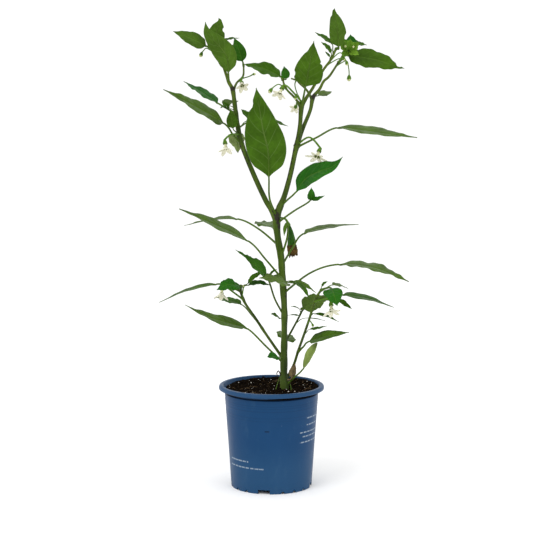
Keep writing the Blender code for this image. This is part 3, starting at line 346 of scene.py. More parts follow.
# Buds too small to be parts of their own in the design
SMALL_BUDS = {
    "small_bud_crown_a": Bud("right_outer_branch", None, 0.0014, [(0.0835, 0.002, 0.4945),
        (0.0825, -0.001, 0.4985), (0.082, -0.003, 0.4995)]),
    "small_bud_crown_b": Bud("right_outer_branch", None, 0.0014, [(0.0875, 0.002, 0.4945),
        (0.09, -0.001, 0.4985), (0.0908, -0.003, 0.499)]),
    "small_bud_crown_low": Bud("main_stem", 0.483, 0.002, [(0.076, -0.009, 0.4925),
        (0.082, -0.006, 0.488), (0.0836, -0.005, 0.48)]),
    "small_bud_crown_side": Bud("main_stem", 0.478, 0.0016, [(0.072, -0.008, 0.485),
        (0.078, -0.006, 0.487), (0.0805, -0.006, 0.485)]),
    "small_bud_side_shoot": Bud("left_side_shoot", 0.463, 0.0015, [(-0.026, 0.016, 0.4655),
        (-0.0215, 0.013, 0.468), (-0.019, 0.012, 0.4685)]),
    "small_bud_right_hanging": Bud("main_stem", 0.436, 0.0017, [(0.0285, -0.02, 0.447),
        (0.0265, -0.022, 0.446), (0.026, -0.022, 0.4425)]),
    "small_bud_right_dark": Bud("main_stem", 0.434, 0.0013, [(0.026, -0.017, 0.455),
        (0.027, -0.018, 0.462), (0.0275, -0.018, 0.465)]),
    "small_bud_lower_left": Bud("lower_left_shoot", 0.22, 0.0014, [(-0.0325, -0.017, 0.224),
        (-0.032, -0.018, 0.229), (-0.0315, -0.018, 0.2325)]),
    "small_bud_lower_right": Bud("lower_right_shoot", 0.186, 0.0015, [(0.0425, -0.02, 0.1935),
        (0.0455, -0.021, 0.191), (0.0465, -0.021, 0.188)]),
}

YOUNG_FRUIT = Bud("main_stem", 0.3085, 0.0052, [
    (0.015, 0.006, 0.306), (0.019, 0.012, 0.3), (0.0215, 0.016, 0.2905),
    (0.0229, 0.018, 0.28), (0.0231, 0.018, 0.274), (0.0237, 0.018, 0.267), (0.0245, 0.018, 0.261)])


# ---------------------------------------------------------------- general modelling

MERGE_DISTANCE = 0.000004


def spline_point(points, position):
    """A Catmull-Rom curve through the points; position 2.5 is halfway from point 2 to point 3."""
    last = len(points) - 1
    index = min(int(position), last - 1)
    part = position - index
    before = points[index - 1] if index > 0 else points[0] * 2.0 - points[1]
    start = points[index]
    end = points[index + 1]
    after = points[index + 2] if index + 2 <= last else points[last] * 2.0 - points[last - 1]
    return 0.5 * (
        2.0 * start
        + (end - before) * part
        + (2.0 * before - 5.0 * start + 4.0 * end - after) * part ** 2
        + (3.0 * start - before - 3.0 * end + after) * part ** 3)


def smooth_step(low, high, value):
    part = min(max((value - low) / (high - low), 0.0), 1.0)
    return part * part * (3.0 - 2.0 * part)


def mix(first, second, part):
    return first + (second - first) * part


def polar(angle, radius):
    return radius * math.cos(angle), radius * math.sin(angle)


def vectors(places):
    return [Vector(place) for place in places]


def mapped_grid(bm, across, along, place, material=0):
    """A grid whose corners go where place(u, v) says, with u and v from 0 to 1."""
    bm.loops.layers.uv.verify()
    before = len(bm.faces)
    made = bmesh.ops.create_grid(bm, x_segments=across, y_segments=along, size=0.5, calc_uvs=True)
    for vertex in made["verts"]:
        vertex.co = place(vertex.co.x + 0.5, vertex.co.y + 0.5)
    paint_from(bm, before, material)


def paint_from(bm, first, material):
    """Gives the faces from a number onwards a material."""
    bm.faces.ensure_lookup_table()
    for face in bm.faces[first:]:
        face.material_index = material


def closed_up(bm):
    """Merges the seams and turns the normals outwards."""
    bmesh.ops.remove_doubles(bm, verts=bm.verts, dist=MERGE_DISTANCE)
    bmesh.ops.recalc_face_normals(bm, faces=bm.faces)


def new_object(name, bm):
    mesh = bpy.data.meshes.new(name)
    bm.to_mesh(mesh)
    bm.free()
    made = bpy.data.objects.new(name, mesh)
    bpy.context.scene.collection.objects.link(made)
    return made


def piece_of(made, materials, replaced=()):
    """Makes an object a smooth piece that rides on the plant."""
    mesh = made.data
    for number, material in enumerate(materials):
        if number < len(mesh.materials):
            mesh.materials[number] = material
        else:
            mesh.materials.append(material)
    mesh.shade_smooth()
    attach(made, "root")
    for node in replaced:
        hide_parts(node)
    return made


def piece(name, bm, materials, replaced=()):
    closed_up(bm)
    return piece_of(new_object(name, bm), materials, replaced)


def piece_from_mesh(name, mesh, materials, replaced):
    mesh.name = name
    made = bpy.data.objects.new(name, mesh)
    bpy.context.scene.collection.objects.link(made)
    return piece_of(made, materials, replaced)


def settled_mesh(made):
    """The object's mesh with its modifiers applied; the object is removed."""
    bpy.context.view_layer.update()
    evaluated = made.evaluated_get(bpy.context.evaluated_depsgraph_get())
    mesh = bpy.data.meshes.new_from_object(evaluated)
    bpy.data.objects.remove(made, do_unlink=True)
    return mesh


def add_walled_sheet(bm, sheet, wall, back_differs):
    """Gives an open sheet a thickness and adds it to bm; its back may take the next material."""
    made = new_object("sheet", sheet)
    solidify = made.modifiers.new("wall", "SOLIDIFY")
    solidify.thickness = wall
    solidify.offset = 0.0
    if back_differs:
        made.data.materials.append(None)
        made.data.materials.append(None)
        solidify.material_offset = 1
    mesh = settled_mesh(made)
    bm.from_mesh(mesh)
    bpy.data.meshes.remove(mesh)


def path_frames(places):
    """Two side vectors for each place, turning as little as they can."""
    frames = []
    side = None
    for index in range(len(places)):
        ahead = places[min(index + 1, len(places) - 1)]
        behind = places[max(index - 1, 0)]
        along = (ahead - behind).normalized()
        if side is None:
            helper = Vector((0.0, 1.0, 0.0)) if abs(along.y) < 0.9 else Vector((1.0, 0.0, 0.0))
            side = helper.cross(along)
        side = (side - along * side.dot(along)).normalized()
        frames.append((side, along.cross(side)))
    return frames


def add_tube(bm, path, sides, material=0, ridges=0, ridge_depth=0.0):
    """A closed round tube along (place, radius) pairs, with blunt ends."""
    path = [(path[0][0], 0.0)] + list(path) + [(path[-1][0], 0.0)]
    places = [place for place, _ in path]
    places[0] = places[1] - (places[2] - places[1]).normalized() * path[1][1] * 0.3
    places[-1] = places[-2] + (places[-2] - places[-3]).normalized() * path[-2][1] * 0.5
    frames = path_frames(places)
    rows = len(path) - 1

    def place(u, v):
        row = round(v * rows)
        angle = -2.0 * math.pi * u
        side, up = frames[row]
        radius = path[row][1] * (1.0 + ridge_depth * math.cos(ridges * angle))
        return places[row] + (side * math.cos(angle) + up * math.sin(angle)) * radius

    mapped_grid(bm, sides, rows, place, material)


def sample_path(points, radii, samples):
    """Evenly spread places along the curve, each with its radius."""
    last = len(points) - 1
    row = []
    for number in range(samples):
        position = last * number / (samples - 1)
        index = min(int(position), last - 1)
        part = position - index
        row.append((spline_point(points, position), mix(radii[index], radii[index + 1], part)))
    return row


# ---------------------------------------------------------------- materials


class Shader:
    """A short way to write a node material."""

    def __init__(self, name, roughness, specular=0.5, sheen=0.0):
        self.material = bpy.data.materials.new(name)
        self.material.use_nodes = True
        self.tree = self.material.node_tree
        self.bsdf = self.tree.nodes["Principled BSDF"]
        self.bsdf.inputs["Roughness"].default_value = roughness
        self.bsdf.inputs["Specular IOR Level"].default_value = specular
        self.bsdf.inputs["Sheen Weight"].default_value = sheen
        self.coordinates = self.node("TexCoord")
        self.object = self.coordinates.outputs["Object"]

    def put(self, value, socket):
        if isinstance(value, (int, float)):
            socket.default_value = value
        elif isinstance(value, tuple):
            socket.default_value = (*value, 1.0) if len(socket.default_value) == 4 else value
        else:
            self.tree.links.new(value, socket)

    def node(self, kind, **inputs):
        """A new node; From_Min=1.0 sets its socket "From Min"."""
        made = self.tree.nodes.new("ShaderNode" + kind)
        for name, value in inputs.items():
            self.put(value, made.inputs[name.replace("_", " ")])
        return made

    def stretched(self, *scale):
        return self.node("Mapping", Scale=scale, Vector=self.object).outputs["Vector"]

    def math(self, operation, *values):
        node = self.node("Math")
        node.operation = operation
        for value, socket in zip(values, node.inputs):
            self.put(value, socket)
        return node.outputs["Value"]

    def times(self, first, *others):
        for other in others:
            first = self.math("MULTIPLY", first, other)
        return first

    def off(self, value, middle):
        """How far a value lies from the middle, without its sign."""
        return self.math("ABSOLUTE", self.math("SUBTRACT", value, middle))

    def noise(self, scale, detail=3.0, roughness=0.55, vector=None):
        return self.node("TexNoise", Scale=scale, Detail=detail, Roughness=roughness,
                         Vector=vector or self.object).outputs["Fac"]

    def cells(self, scale, feature):
        node = self.node("TexVoronoi")
        node.feature = feature
        self.put(scale, node.inputs["Scale"])
        self.put(self.object, node.inputs["Vector"])
        return node.outputs["Distance"]

    def attribute(self, name):
        node = self.node("Attribute")
        node.attribute_name = name
        return node.outputs["Fac"]

    def across_along(self):
        return self.node("SeparateXYZ", Vector=self.coordinates.outputs["UV"]).outputs[:2]

    def place(self):
        return self.node("SeparateXYZ", Vector=self.object).outputs[:]

    def range(self, value, low, high, to_low=0.0, to_high=1.0):
        node = self.node("MapRange", Value=value, From_Min=low, From_Max=high, To_Min=to_low,
                         To_Max=to_high)
        node.interpolation_type = "SMOOTHSTEP"
        return node.outputs["Result"]

    def ramp(self, value, stops):
        node = self.node("ValToRGB", Fac=value)
        ramp = node.color_ramp
        while len(ramp.elements) < len(stops):
            ramp.elements.new(0.5)
        for element, (position, colour) in zip(ramp.elements, stops):
            element.position = position
            element.color = (*colour, 1.0)
        return node.outputs["Color"]

    def mix(self, factor, first, second):
        """Two colours mixed; 6, 7 and 2 are the node's colour sockets."""
        node = self.node("Mix")
        node.data_type = "RGBA"
        self.put(factor, node.inputs["Factor"])
        self.put(first, node.inputs[6])
        self.put(second, node.inputs[7])
        return node.outputs[2]

    def colour(self, value):
        self.put(value, self.bsdf.inputs["Base Color"])

    def roughness(self, value):
        self.put(value, self.bsdf.inputs["Roughness"])

    def bump(self, height, strength, distance):
        """Adds a bump on top of the ones before."""
        node = self.node("Bump", Strength=strength, Distance=distance, Height=height)
        normal = self.bsdf.inputs["Normal"]
        if normal.is_linked:
            self.put(normal.links[0].from_socket, node.inputs["Normal"])
        self.put(node.outputs["Normal"], normal)


def vein_masks(shader):
    """Where the midrib and the side veins run, from the blade's own map."""
    across, along = shader.across_along()
    off_middle = shader.math("ABSOLUTE", shader.math("MULTIPLY_ADD", across, 2.0, -1.0))
    midrib = shader.range(off_middle, 0.012, 0.055, 1.0, 0.0)
    steps = shader.math("MULTIPLY_ADD", along, SIDE_VEINS, 20.0)
    phase = shader.math("FRACT", shader.math("ADD", steps, shader.times(off_middle, -VEIN_SWEEP)))
    lines = shader.range(shader.off(phase, 0.5), 0.010, 0.055, 1.0, 0.0)
    fade = shader.range(off_middle, 0.55, 1.0, 1.0, 0.15)
    return midrib, shader.times(lines, fade), off_middle


def leaf_material(name, tones, vein_colour, roughness, specular, vein_share, net_strength):
    shader = Shader(name, roughness, specular)
    midrib, side_veins, off_middle = vein_masks(shader)
    patches = shader.range(shader.noise(55.0, 4.0), 0.3, 0.7, 0.80, 1.18)
    fine = shader.range(shader.noise(420.0, 2.0), 0.3, 0.7, 0.93, 1.07)
    scaled = shader.node("VectorMath")
    scaled.operation = "SCALE"
    shader.put(shader.ramp(shader.attribute("tone"), tones), scaled.inputs[0])
    shader.put(shader.times(patches, fine), scaled.inputs["Scale"])
    veins = shader.math("MAXIMUM", midrib, shader.times(side_veins, 0.55))
    veined = shader.mix(shader.times(veins, vein_share), scaled.outputs["Vector"], vein_colour)
    edge = shader.range(off_middle, 0.93, 1.0, 0.0, 0.30)
    shader.colour(shader.mix(edge, veined, vein_colour))
    net = shader.cells(520.0, "DISTANCE_TO_EDGE")
    shader.bump(shader.range(net, 0.0, 0.25), net_strength, 0.00012)
    shader.bump(veins, 0.35, 0.0003 if net_strength > 0.3 else -0.0003)
    shader.roughness(shader.range(shader.noise(160.0), 0.3, 0.7, roughness - 0.06, roughness + 0.08))
    return shader.material


def stalk_material():
    shader = Shader("stalk_skin", 0.42, 0.12)
    _, along = shader.across_along()
    tone = shader.ramp(shader.noise(90.0), [(0.25, (0.038, 0.082, 0.004)), (0.75, (0.082, 0.145, 0.015))])
    shader.colour(shader.mix(shader.range(along, 0.0, 0.06, 0.75, 0.0), tone, (0.035, 0.045, 0.012)))
    shader.bump(shader.noise(700.0, 2.0, vector=shader.stretched(1.0, 1.0, 0.2)), 0.25, 0.0002)
    return shader.material


def stem_material():
    """Green with long grain: darker near the mix, purple-black at the knots, with painted light on the side
    that faces -X and painted shade on the side that faces +X.
    """
    shader = Shader("stem_skin", 0.40, 0.12)
    height = shader.place()[2]
    sunny = shader.attribute("sunny")
    long_grain = shader.noise(170.0, 4.0, vector=shader.stretched(1.0, 1.0, 0.09))
    blotches = shader.range(shader.noise(60.0, vector=shader.stretched(1.0, 1.0, 0.45)), 0.35, 0.68)
    streaks = shader.noise(115.0, 2.0, vector=shader.stretched(1.0, 1.0, 0.11))
    # Painted shade: the side that faces +X, away from the key light, is darkened, less on the upper shoots
    painted_shade_side = shader.times(shader.range(sunny, 0.0, 0.40, 0.55, 0.0),
                             shader.range(height, 0.425, 0.46, 1.0, 0.35))
    uneven = shader.times(shader.math("SUBTRACT", shader.noise(240.0), 0.5), 0.5)
    dark_knots = shader.range(shader.math("ADD", shader.attribute("knot"), uneven), 0.42, 0.80)
    green = shader.ramp(long_grain, [
        (0.28, (0.011, 0.028, 0.001)), (0.46, (0.034, 0.070, 0.002)), (0.72, (0.082, 0.142, 0.010))])
    for share, colour in (
            (shader.range(height, 0.11, 0.27, 0.70, 0.0), (0.012, 0.028, 0.001)),
            (shader.times(blotches, 0.35), (0.095, 0.140, 0.022)),
            (shader.range(streaks, 0.54, 0.68, 0.0, 0.60), (0.008, 0.016, 0.001)),
            (shader.range(height, 0.425, 0.46, 0.0, 0.45), (0.125, 0.172, 0.020)),
            # Painted light on the side that faces -X, then the painted shade on the side that faces +X
            (shader.range(sunny, 0.55, 1.0, 0.0, 0.45), (0.105, 0.150, 0.030)),
            (painted_shade_side, (0.010, 0.024, 0.001)),
            (shader.times(shader.attribute("weathered"), 0.60), (0.020, 0.026, 0.005)),
            (shader.times(dark_knots, 0.88), (0.018, 0.011, 0.013))):
        green = shader.mix(share, green, colour)
    shader.colour(green)
    shader.bump(shader.noise(520.0, vector=shader.stretched(1.0, 1.0, 0.12)), 0.5, 0.00035)
    shader.roughness(shader.range(long_grain, 0.3, 0.7, 0.36, 0.52))
    return shader.material


def petal_material():
    shader = Shader("petal_cream", 0.55, 0.3, sheen=0.15)
    base = shader.ramp(shader.across_along()[1], [
        (0.0, (0.30, 0.38, 0.08)), (0.22, (0.60, 0.60, 0.34)), (0.55, (0.76, 0.74, 0.57)),
        (1.0, (0.78, 0.76, 0.60))])
    grain = shader.noise(900.0, 2.0)
    shader.colour(shader.mix(shader.range(grain, 0.35, 0.75, 0.0, 0.22), base, (0.62, 0.60, 0.40)))
    shader.bump(grain, 0.35, 0.0002)
    return shader.material


def simple_material(name, dark, light, scale, roughness, bump=0.3, specular=0.4):
    """A mottled finish between two colours, with a fine grain."""
    shader = Shader(name, roughness, specular)
    blend = shader.noise(scale, 4.0)
    shader.colour(shader.ramp(blend, [(0.3, dark), (0.7, light)]))
    shader.bump(shader.noise(scale * 4.0), bump, 0.0003)
    shader.roughness(shader.range(blend, 0.3, 0.7, roughness - 0.06, roughness + 0.06))
    return shader.material


# Height, size and depth of the darker lines round the pot: the shadow of the lip, then the rings
POT_LINES = (
    (0.1087, 0.0013, 0.85), (0.1015, 0.0006, 0.22), (0.0990, 0.0006, 0.18), (0.0955, 0.0006, 0.20),
    (0.0880, 0.0005, 0.14), (0.0845, 0.0005, 0.12),
)
NICK_SIDEWAYS = -0.0052
NICK_HEIGHT = 0.0730
DEEP_BLUE = (0.001, 0.006, 0.020)


def pot_material():
    shader = Shader("pot_plastic", 0.38, 0.12)
    x, y, z = shader.place()
    blue = shader.ramp(shader.noise(14.0), [(0.3, (0.0040, 0.041, 0.118)), (0.7, (0.0068, 0.048, 0.134))])
    scuffs = shader.noise(80.0, 5.0, 0.7, vector=shader.stretched(1.0, 1.0, 0.35))
    specks = shader.range(shader.cells(260.0, "F1"), 0.03, 0.09, 1.0, 0.0)
    rare = shader.range(shader.noise(120.0, 1.0), 0.60, 0.66)
    nick = shader.times(shader.range(shader.off(x, NICK_SIDEWAYS), 0.0022, 0.0030, 1.0, 0.0),
                        shader.range(shader.off(z, NICK_HEIGHT), 0.0004, 0.0009, 0.8, 0.0),
                        shader.math("LESS_THAN", y, 0.0))
    layers = [(shader.range(scuffs, 0.52, 0.80, 0.0, 0.25), (0.045, 0.105, 0.185)),
              (shader.times(specks, rare, 0.5), (0.30, 0.36, 0.42))]
    layers += [(shader.range(shader.off(z, ring), 0.3 * size, size, share, 0.0), DEEP_BLUE)
               for ring, size, share in POT_LINES]
    # Painted sheen: everything above the lip's shadow line, the rim, is mixed towards a lighter grey-blue
    layers += [(shader.range(z, 0.1085, 0.1100, 0.0, 0.12), (0.080, 0.140, 0.200)),
               (shader.range(z, 0.015, 0.065, 0.22, 0.0), (0.040, 0.110, 0.190)),
               (nick, DEEP_BLUE), (print_mask(shader, x, y, z), (0.42, 0.50, 0.56))]
    for share, colour in layers:
        blue = shader.mix(share, blue, colour)
    shader.colour(blue)
    shader.bump(shader.noise(900.0, 2.0, vector=shader.stretched(0.02, 0.02, 1.0)), 0.10, 0.0002)
    shader.bump(shader.noise(1500.0, 2.0), 0.12, 0.0001)
    shader.roughness(shader.range(scuffs, 0.35, 0.75, 0.34, 0.50))
    return shader.material


# Rows of plain dashes printed on the pot: height, first and last angle from the front in degrees
PRINT_ROWS = (
    (0.0362, -68.0, -33.0), (0.0290, -70.0, -11.0),
    (0.0850, 49.0, 75.0), (0.0770, 51.0, 78.0), (0.0690, 38.0, 80.0), (0.0640, 43.0, 78.0),
    (0.0575, 40.0, 80.0),
)
PRINT_HEIGHT = 0.0016
DEGREES = 57.29578


def print_row(shader, angle, z, number):
    """One row: uneven dashes with wider gaps between groups of them."""
    height, first, last = PRINT_ROWS[number]
    near = shader.range(shader.off(z, height), 0.30 * PRINT_HEIGHT, 0.55 * PRINT_HEIGHT, 1.0, 0.0)
    place = shader.math("MULTIPLY_ADD", angle, 0.55, 40.0 + 0.37 * number)
    wobble = shader.times(shader.math("SINE", shader.times(angle, 0.83 + 0.11 * number)), 0.22)
    dashes = shader.math("LESS_THAN", shader.math("FRACT", shader.math("ADD", place, wobble)), 0.66)
    groups = shader.math("MULTIPLY_ADD", angle, 0.145, 40.3 + 0.31 * number)
    gaps = shader.math("GREATER_THAN", shader.math("FRACT", groups), 0.2)
    return shader.times(near, dashes, gaps, shader.math("GREATER_THAN", angle, first),
                        shader.math("LESS_THAN", angle, last))


def print_mask(shader, x, y, z):
    """Where the plain dashes are, around the outside of the pot."""
    angle = shader.times(shader.math("ARCTAN2", x, shader.times(y, -1.0)), DEGREES)
    radius = shader.math("SQRT", shader.math("ADD", shader.times(x, x), shader.times(y, y)))
    lean = shader.times(z, (NECK_RADIUS - FOOT_RADIUS) / NECK_HEIGHT)
    outside = shader.math("GREATER_THAN", radius, shader.math("ADD", lean, FOOT_RADIUS - 0.0006))
    total = print_row(shader, angle, z, 0)
    for number in range(1, len(PRINT_ROWS)):
        total = shader.math("MAXIMUM", total, print_row(shader, angle, z, number))
    return shader.times(total, outside, 0.75)


# Colours of a blade from deep green to pale, on its upper and on its lower side
UPPER_TONES = (
    (0.0, (0.0144, 0.0990, 0.0054)), (0.25, (0.0216, 0.0900, 0.0027)), (0.45, (0.0342, 0.0900, 0.0018)),
    (0.62, (0.0558, 0.1098, 0.0108)), (0.80, (0.0855, 0.1395, 0.0288)), (1.0, (0.1710, 0.2340, 0.0585)),
)
LOWER_TONES = (
    (0.0, (0.0180, 0.0900, 0.0072)), (0.25, (0.0306, 0.0900, 0.0054)), (0.45, (0.0432, 0.0990, 0.0054)),
    (0.62, (0.0684, 0.1242, 0.0198)), (0.80, (0.0990, 0.1530, 0.0405)), (1.0, (0.1800, 0.2430, 0.0765)),
)
YOUNG_TONES = ((0.0, (0.040, 0.130, 0.004)), (1.0, (0.140, 0.270, 0.022)))

# Darker and lighter colour, scale of the mottling, roughness, bump and specular
SIMPLE_MATERIALS = {
    "calyx_green": ((0.050, 0.130, 0.006), (0.105, 0.205, 0.018), 220.0, 0.45, 0.3, 0.12),
    "anther_olive": ((0.055, 0.085, 0.012), (0.150, 0.185, 0.040), 900.0, 0.6),
    "filament_pale": ((0.55, 0.58, 0.36), (0.70, 0.70, 0.50), 900.0, 0.5),
    "bud_cream": ((0.36, 0.42, 0.14), (0.62, 0.62, 0.34), 350.0, 0.5),
    "fruit_skin": ((0.008, 0.052, 0.002), (0.032, 0.120, 0.004), 120.0, 0.25, 0.06, 0.10),
    "withered_brown": ((0.014, 0.009, 0.003), (0.200, 0.115, 0.030), 150.0, 0.8, 0.8, 0.1),
    "dry_bract": ((0.050, 0.032, 0.010), (0.180, 0.130, 0.055), 300.0, 0.8, 0.8),
    "dead_tendril": ((0.012, 0.009, 0.006), (0.050, 0.034, 0.018), 300.0, 0.8, 0.6),
    "potting_mix_dark": ((0.002, 0.001, 0.001), (0.009, 0.006, 0.003), 420.0, 0.95, 1.0, 0.02),
    "mix_crumbs": ((0.002, 0.001, 0.001), (0.013, 0.008, 0.004), 160.0, 0.95, 0.8, 0.02),
    "bark_bits": ((0.050, 0.026, 0.010), (0.170, 0.100, 0.048), 200.0, 0.9, 0.8, 0.2),
    "perlite_grains": ((0.55, 0.52, 0.45), (0.86, 0.84, 0.78), 500.0, 0.9, 0.8, 0.2),
    "root_fibres": ((0.10, 0.06, 0.025), (0.24, 0.16, 0.08), 300.0, 0.9, 0.3, 0.2),
}


def make_materials():
    made = [
        leaf_material("leaf_upper", UPPER_TONES, (0.100, 0.190, 0.024), 0.38, 0.06, 0.50, 0.35),
        leaf_material("leaf_lower", LOWER_TONES, (0.130, 0.205, 0.060), 0.55, 0.04, 0.60, 0.25),
        leaf_material("leaf_young", YOUNG_TONES, (0.16, 0.28, 0.04), 0.38, 0.06, 0.40, 0.35),
        stalk_material(), stem_material(), petal_material(), pot_material()]
    made += [simple_material(name, *row) for name, row in SIMPLE_MATERIALS.items()]
    # Blender numbers a name that the frame already uses, such as pot_plastic.001
    return {material.name.split(".")[0]: material for material in made}


# ---------------------------------------------------------------- pot

LIP_RAISED = 0.0011  # how much higher the underside of the lip is than in the design
NOTCH_DEPTH = 0.012
CUTTER_LENGTH = 0.010
POT_STEPS = 144
WALL_STEPS = 100


def arc(centre_radius, centre_height, size, first, last, steps):
    """Profile points on a round stretch; angles in degrees from +X towards +Z."""
    row = []
    for step in range(steps + 1):
        out, up = polar(math.radians(mix(first, last, step / steps)), size)
        row.append((centre_radius + out, centre_height + up))
    return row


def wall_radius(height):
    return FOOT_RADIUS + (NECK_RADIUS - FOOT_RADIUS) * height / NECK_HEIGHT


def ring_ripple(height):
    """Shallow moulded rings just below the rim."""
    return sum(0.00022 * math.exp(-((height - ring) / 0.0006) ** 2) for ring, _, _ in POT_LINES[1:])


def pot_outline():
    """The pot's half section, from the middle of its inside to the middle of its underside."""
    floor_top = FLOOR_UNDERSIDE + WALL
    lip = POT_HEIGHT - LIP_HEIGHT + LIP_RAISED
    disc = CENTRE_DISC_RADIUS - WALL
    foot = FOOT_RADIUS - WALL
    inside = wall_radius(floor_top) - WALL
    points = [(0.0, WALL), (disc - 0.001, WALL), (disc, WALL + 0.0003),
              (disc + CENTRE_STEP - 0.0003, floor_top - 0.0006),
              (disc + CENTRE_STEP + 0.0006, floor_top),
              (inside - 0.0008, floor_top), (inside, floor_top + 0.0008)]
    for step in range(1, 13):
        height = mix(floor_top, NECK_HEIGHT, step / 12)
        points.append((wall_radius(height) - WALL, height))
    points += [(RIM_BORE - 0.0017, NECK_HEIGHT + 0.0018), (RIM_BORE - 0.0009, NECK_HEIGHT + 0.0040)]
    points += arc(RIM_BORE + 0.0014, POT_HEIGHT - 0.0014, 0.0014, 175, 90, 6)
    points += arc(RIM_RADIUS - 0.0024, POT_HEIGHT - 0.0024, 0.0024, 80, 0, 7)
    points += [(RIM_RADIUS, lip + 0.0020)]
    points += arc(RIM_RADIUS - 0.0010, lip + 0.0010, 0.0010, 0, -120, 6)
    points += [(RIM_RADIUS - 0.0021, lip + 0.0012), (RIM_RADIUS - 0.0030, lip + 0.0030),
               (RIM_RADIUS - 0.0042, lip + 0.0034), (RIM_RADIUS - 0.0054, lip + 0.0024),
               (NECK_RADIUS - 0.0004, lip + 0.0006)]
    for step in range(WALL_STEPS + 1):
        height = mix(NECK_HEIGHT + LIP_RAISED, 0.0012, step / WALL_STEPS)
        groove = 0.0010 * smooth_step(0.1077, 0.1087, height)
        points.append((wall_radius(height) + ring_ripple(height) - groove, height))
    points += arc(FOOT_RADIUS - 0.0004, 0.0004, 0.0004, 0, -90, 3)
    points += [(foot, 0.0), (foot - 0.0001, 0.0010), (foot - 0.0001, FLOOR_UNDERSIDE),
               (CENTRE_DISC_RADIUS + CENTRE_STEP, FLOOR_UNDERSIDE),
               (CENTRE_DISC_RADIUS + 0.0002, 0.0005), (CENTRE_DISC_RADIUS - 0.0004, 0.0), (0.0, 0.0)]
    return points


def around(angle, radius, height):
    """The matrix to a place at an angle from the front, measured towards +X."""
    return Matrix.Translation((radius * math.sin(angle), -radius * math.cos(angle), height))


def add_box(bm, place, *sizes):
    bmesh.ops.create_cube(bm, size=1.0, matrix=place @ Matrix.Diagonal((*sizes, 1.0)))


def add_rod(bm, place, radius, length, segments):
    bmesh.ops.create_cone(bm, cap_ends=True, segments=segments, radius1=radius, radius2=radius,
                          depth=length, matrix=place)


def pot_cutters():
    """Foot notches, drain holes and the small nick on the front, in one mesh."""
    bm = bmesh.new()
    for large in range(LARGE_NOTCHES):
        start = FEATURE_START + large * 2.0 * math.pi / LARGE_NOTCHES
        place = around(start, FOOT_RADIUS, 0.0) @ Matrix.Rotation(start, 4, "Z")
        add_box(bm, place, LARGE_NOTCH_WIDTH, NOTCH_DEPTH, 2.0 * LARGE_NOTCH_HEIGHT)
        for offset in SMALL_NOTCH_OFFSETS:
            angle = start + math.radians(offset)
            turn = Matrix.Rotation(angle, 4, "Z") @ Matrix.Rotation(math.pi / 2.0, 4, "X")
            add_rod(bm, around(angle, FOOT_RADIUS, SMALL_NOTCH_CENTRE) @ turn, SMALL_NOTCH_RADIUS,
                    CUTTER_LENGTH, 20)
    for number in range(DRAIN_HOLES):
        angle = FEATURE_START + (number + 0.5) * 2.0 * math.pi / DRAIN_HOLES
        add_rod(bm, around(angle, DRAIN_CIRCLE, FLOOR_UNDERSIDE + 0.5 * WALL), DRAIN_HOLE_RADIUS, 0.006, 32)
    nick = around(math.radians(-5.5), wall_radius(NICK_HEIGHT) + 0.0002, NICK_HEIGHT)
    add_box(bm, nick, 0.0038, 0.0012, 0.0008)
    return new_object("pot_cutters", bm)


def build_pot(materials):
    bm = bmesh.new()
    outline = [bm.verts.new((radius, 0.0, height)) for radius, height in pot_outline()]
    edges = [bm.edges.new(pair) for pair in zip(outline, outline[1:])]
    bmesh.ops.spin(bm, geom=outline + edges, cent=(0, 0, 0), axis=(0, 0, 1), dvec=(0, 0, 0),
                   angle=2.0 * math.pi, steps=POT_STEPS, use_merge=True)
    bmesh.ops.remove_doubles(bm, verts=bm.verts, dist=0.00001)
    bmesh.ops.recalc_face_normals(bm, faces=bm.faces)
    body = new_object("pot_body", bm)
    cutters = pot_cutters()
    cut = body.modifiers.new("cut", "BOOLEAN")
    cut.operation = "DIFFERENCE"
    cut.solver = "EXACT"
    cut.object = cutters
    mesh = settled_mesh(body)
    bpy.data.objects.remove(cutters, do_unlink=True)
    pot = piece_from_mesh("nursery_pot", mesh, [materials["pot_plastic"]], ["pot"])
    pot.data.set_sharp_from_angle(angle=math.radians(35))


# ---------------------------------------------------------------- potting mix

MIX_RADIUS = wall_radius(NECK_HEIGHT) - WALL - 0.0004
MIX_LEVEL = SOIL_TOP + 0.0014
FIBRES = 28
FIBRE_RADIUS = 0.00018

# Name, number, smallest and largest radius of the loose bits, and how far they may be stretched
LOOSE_BITS = (
    ("soil_crumbs", "mix_crumbs", 2800, 0.0005, 0.0016, 1.3),
    ("bark_bits", "bark_bits", 120, 0.0003, 0.0010, 2.2),
    ("perlite_grains", "perlite_grains", 170, 0.00025, 0.0008, 1.3),
)


def mix_slope(x, y):
    return 0.0016 * y / 0.05 + 0.0012 * x / 0.05


def soil_height(x, y):
    """The uneven top of the mix, higher at the back right and round the stem."""
    place = Vector((x, y, 0.0))
    lumps = 0.0011 * noise.noise(place * 90.0) + 0.0008 * noise.noise(place * 260.0)
    grains = 0.0005 * noise.noise(place * 700.0)
    mound = 0.0012 * math.exp(-((place - Vector((0.0150, -0.013, 0.0))).length / 0.012) ** 2)
    return MIX_LEVEL + mix_slope(x, y) + lumps + grains + mound


def soil_reach(angle):
    """How far the mix reaches: to the inside of the wall, or of the rim where it lies higher."""
    height = MIX_LEVEL + mix_slope(*polar(angle, 0.052))
    wall = wall_radius(min(height, NECK_HEIGHT)) - WALL
    return min(wall + 0.45 * max(height - NECK_HEIGHT, 0.0), RIM_BORE - 0.0003) - 0.0001


def scattered_place(scatter, reach):
    radius = reach * math.sqrt(scatter.random())
    return polar(2.0 * math.pi * scatter.random(), radius)


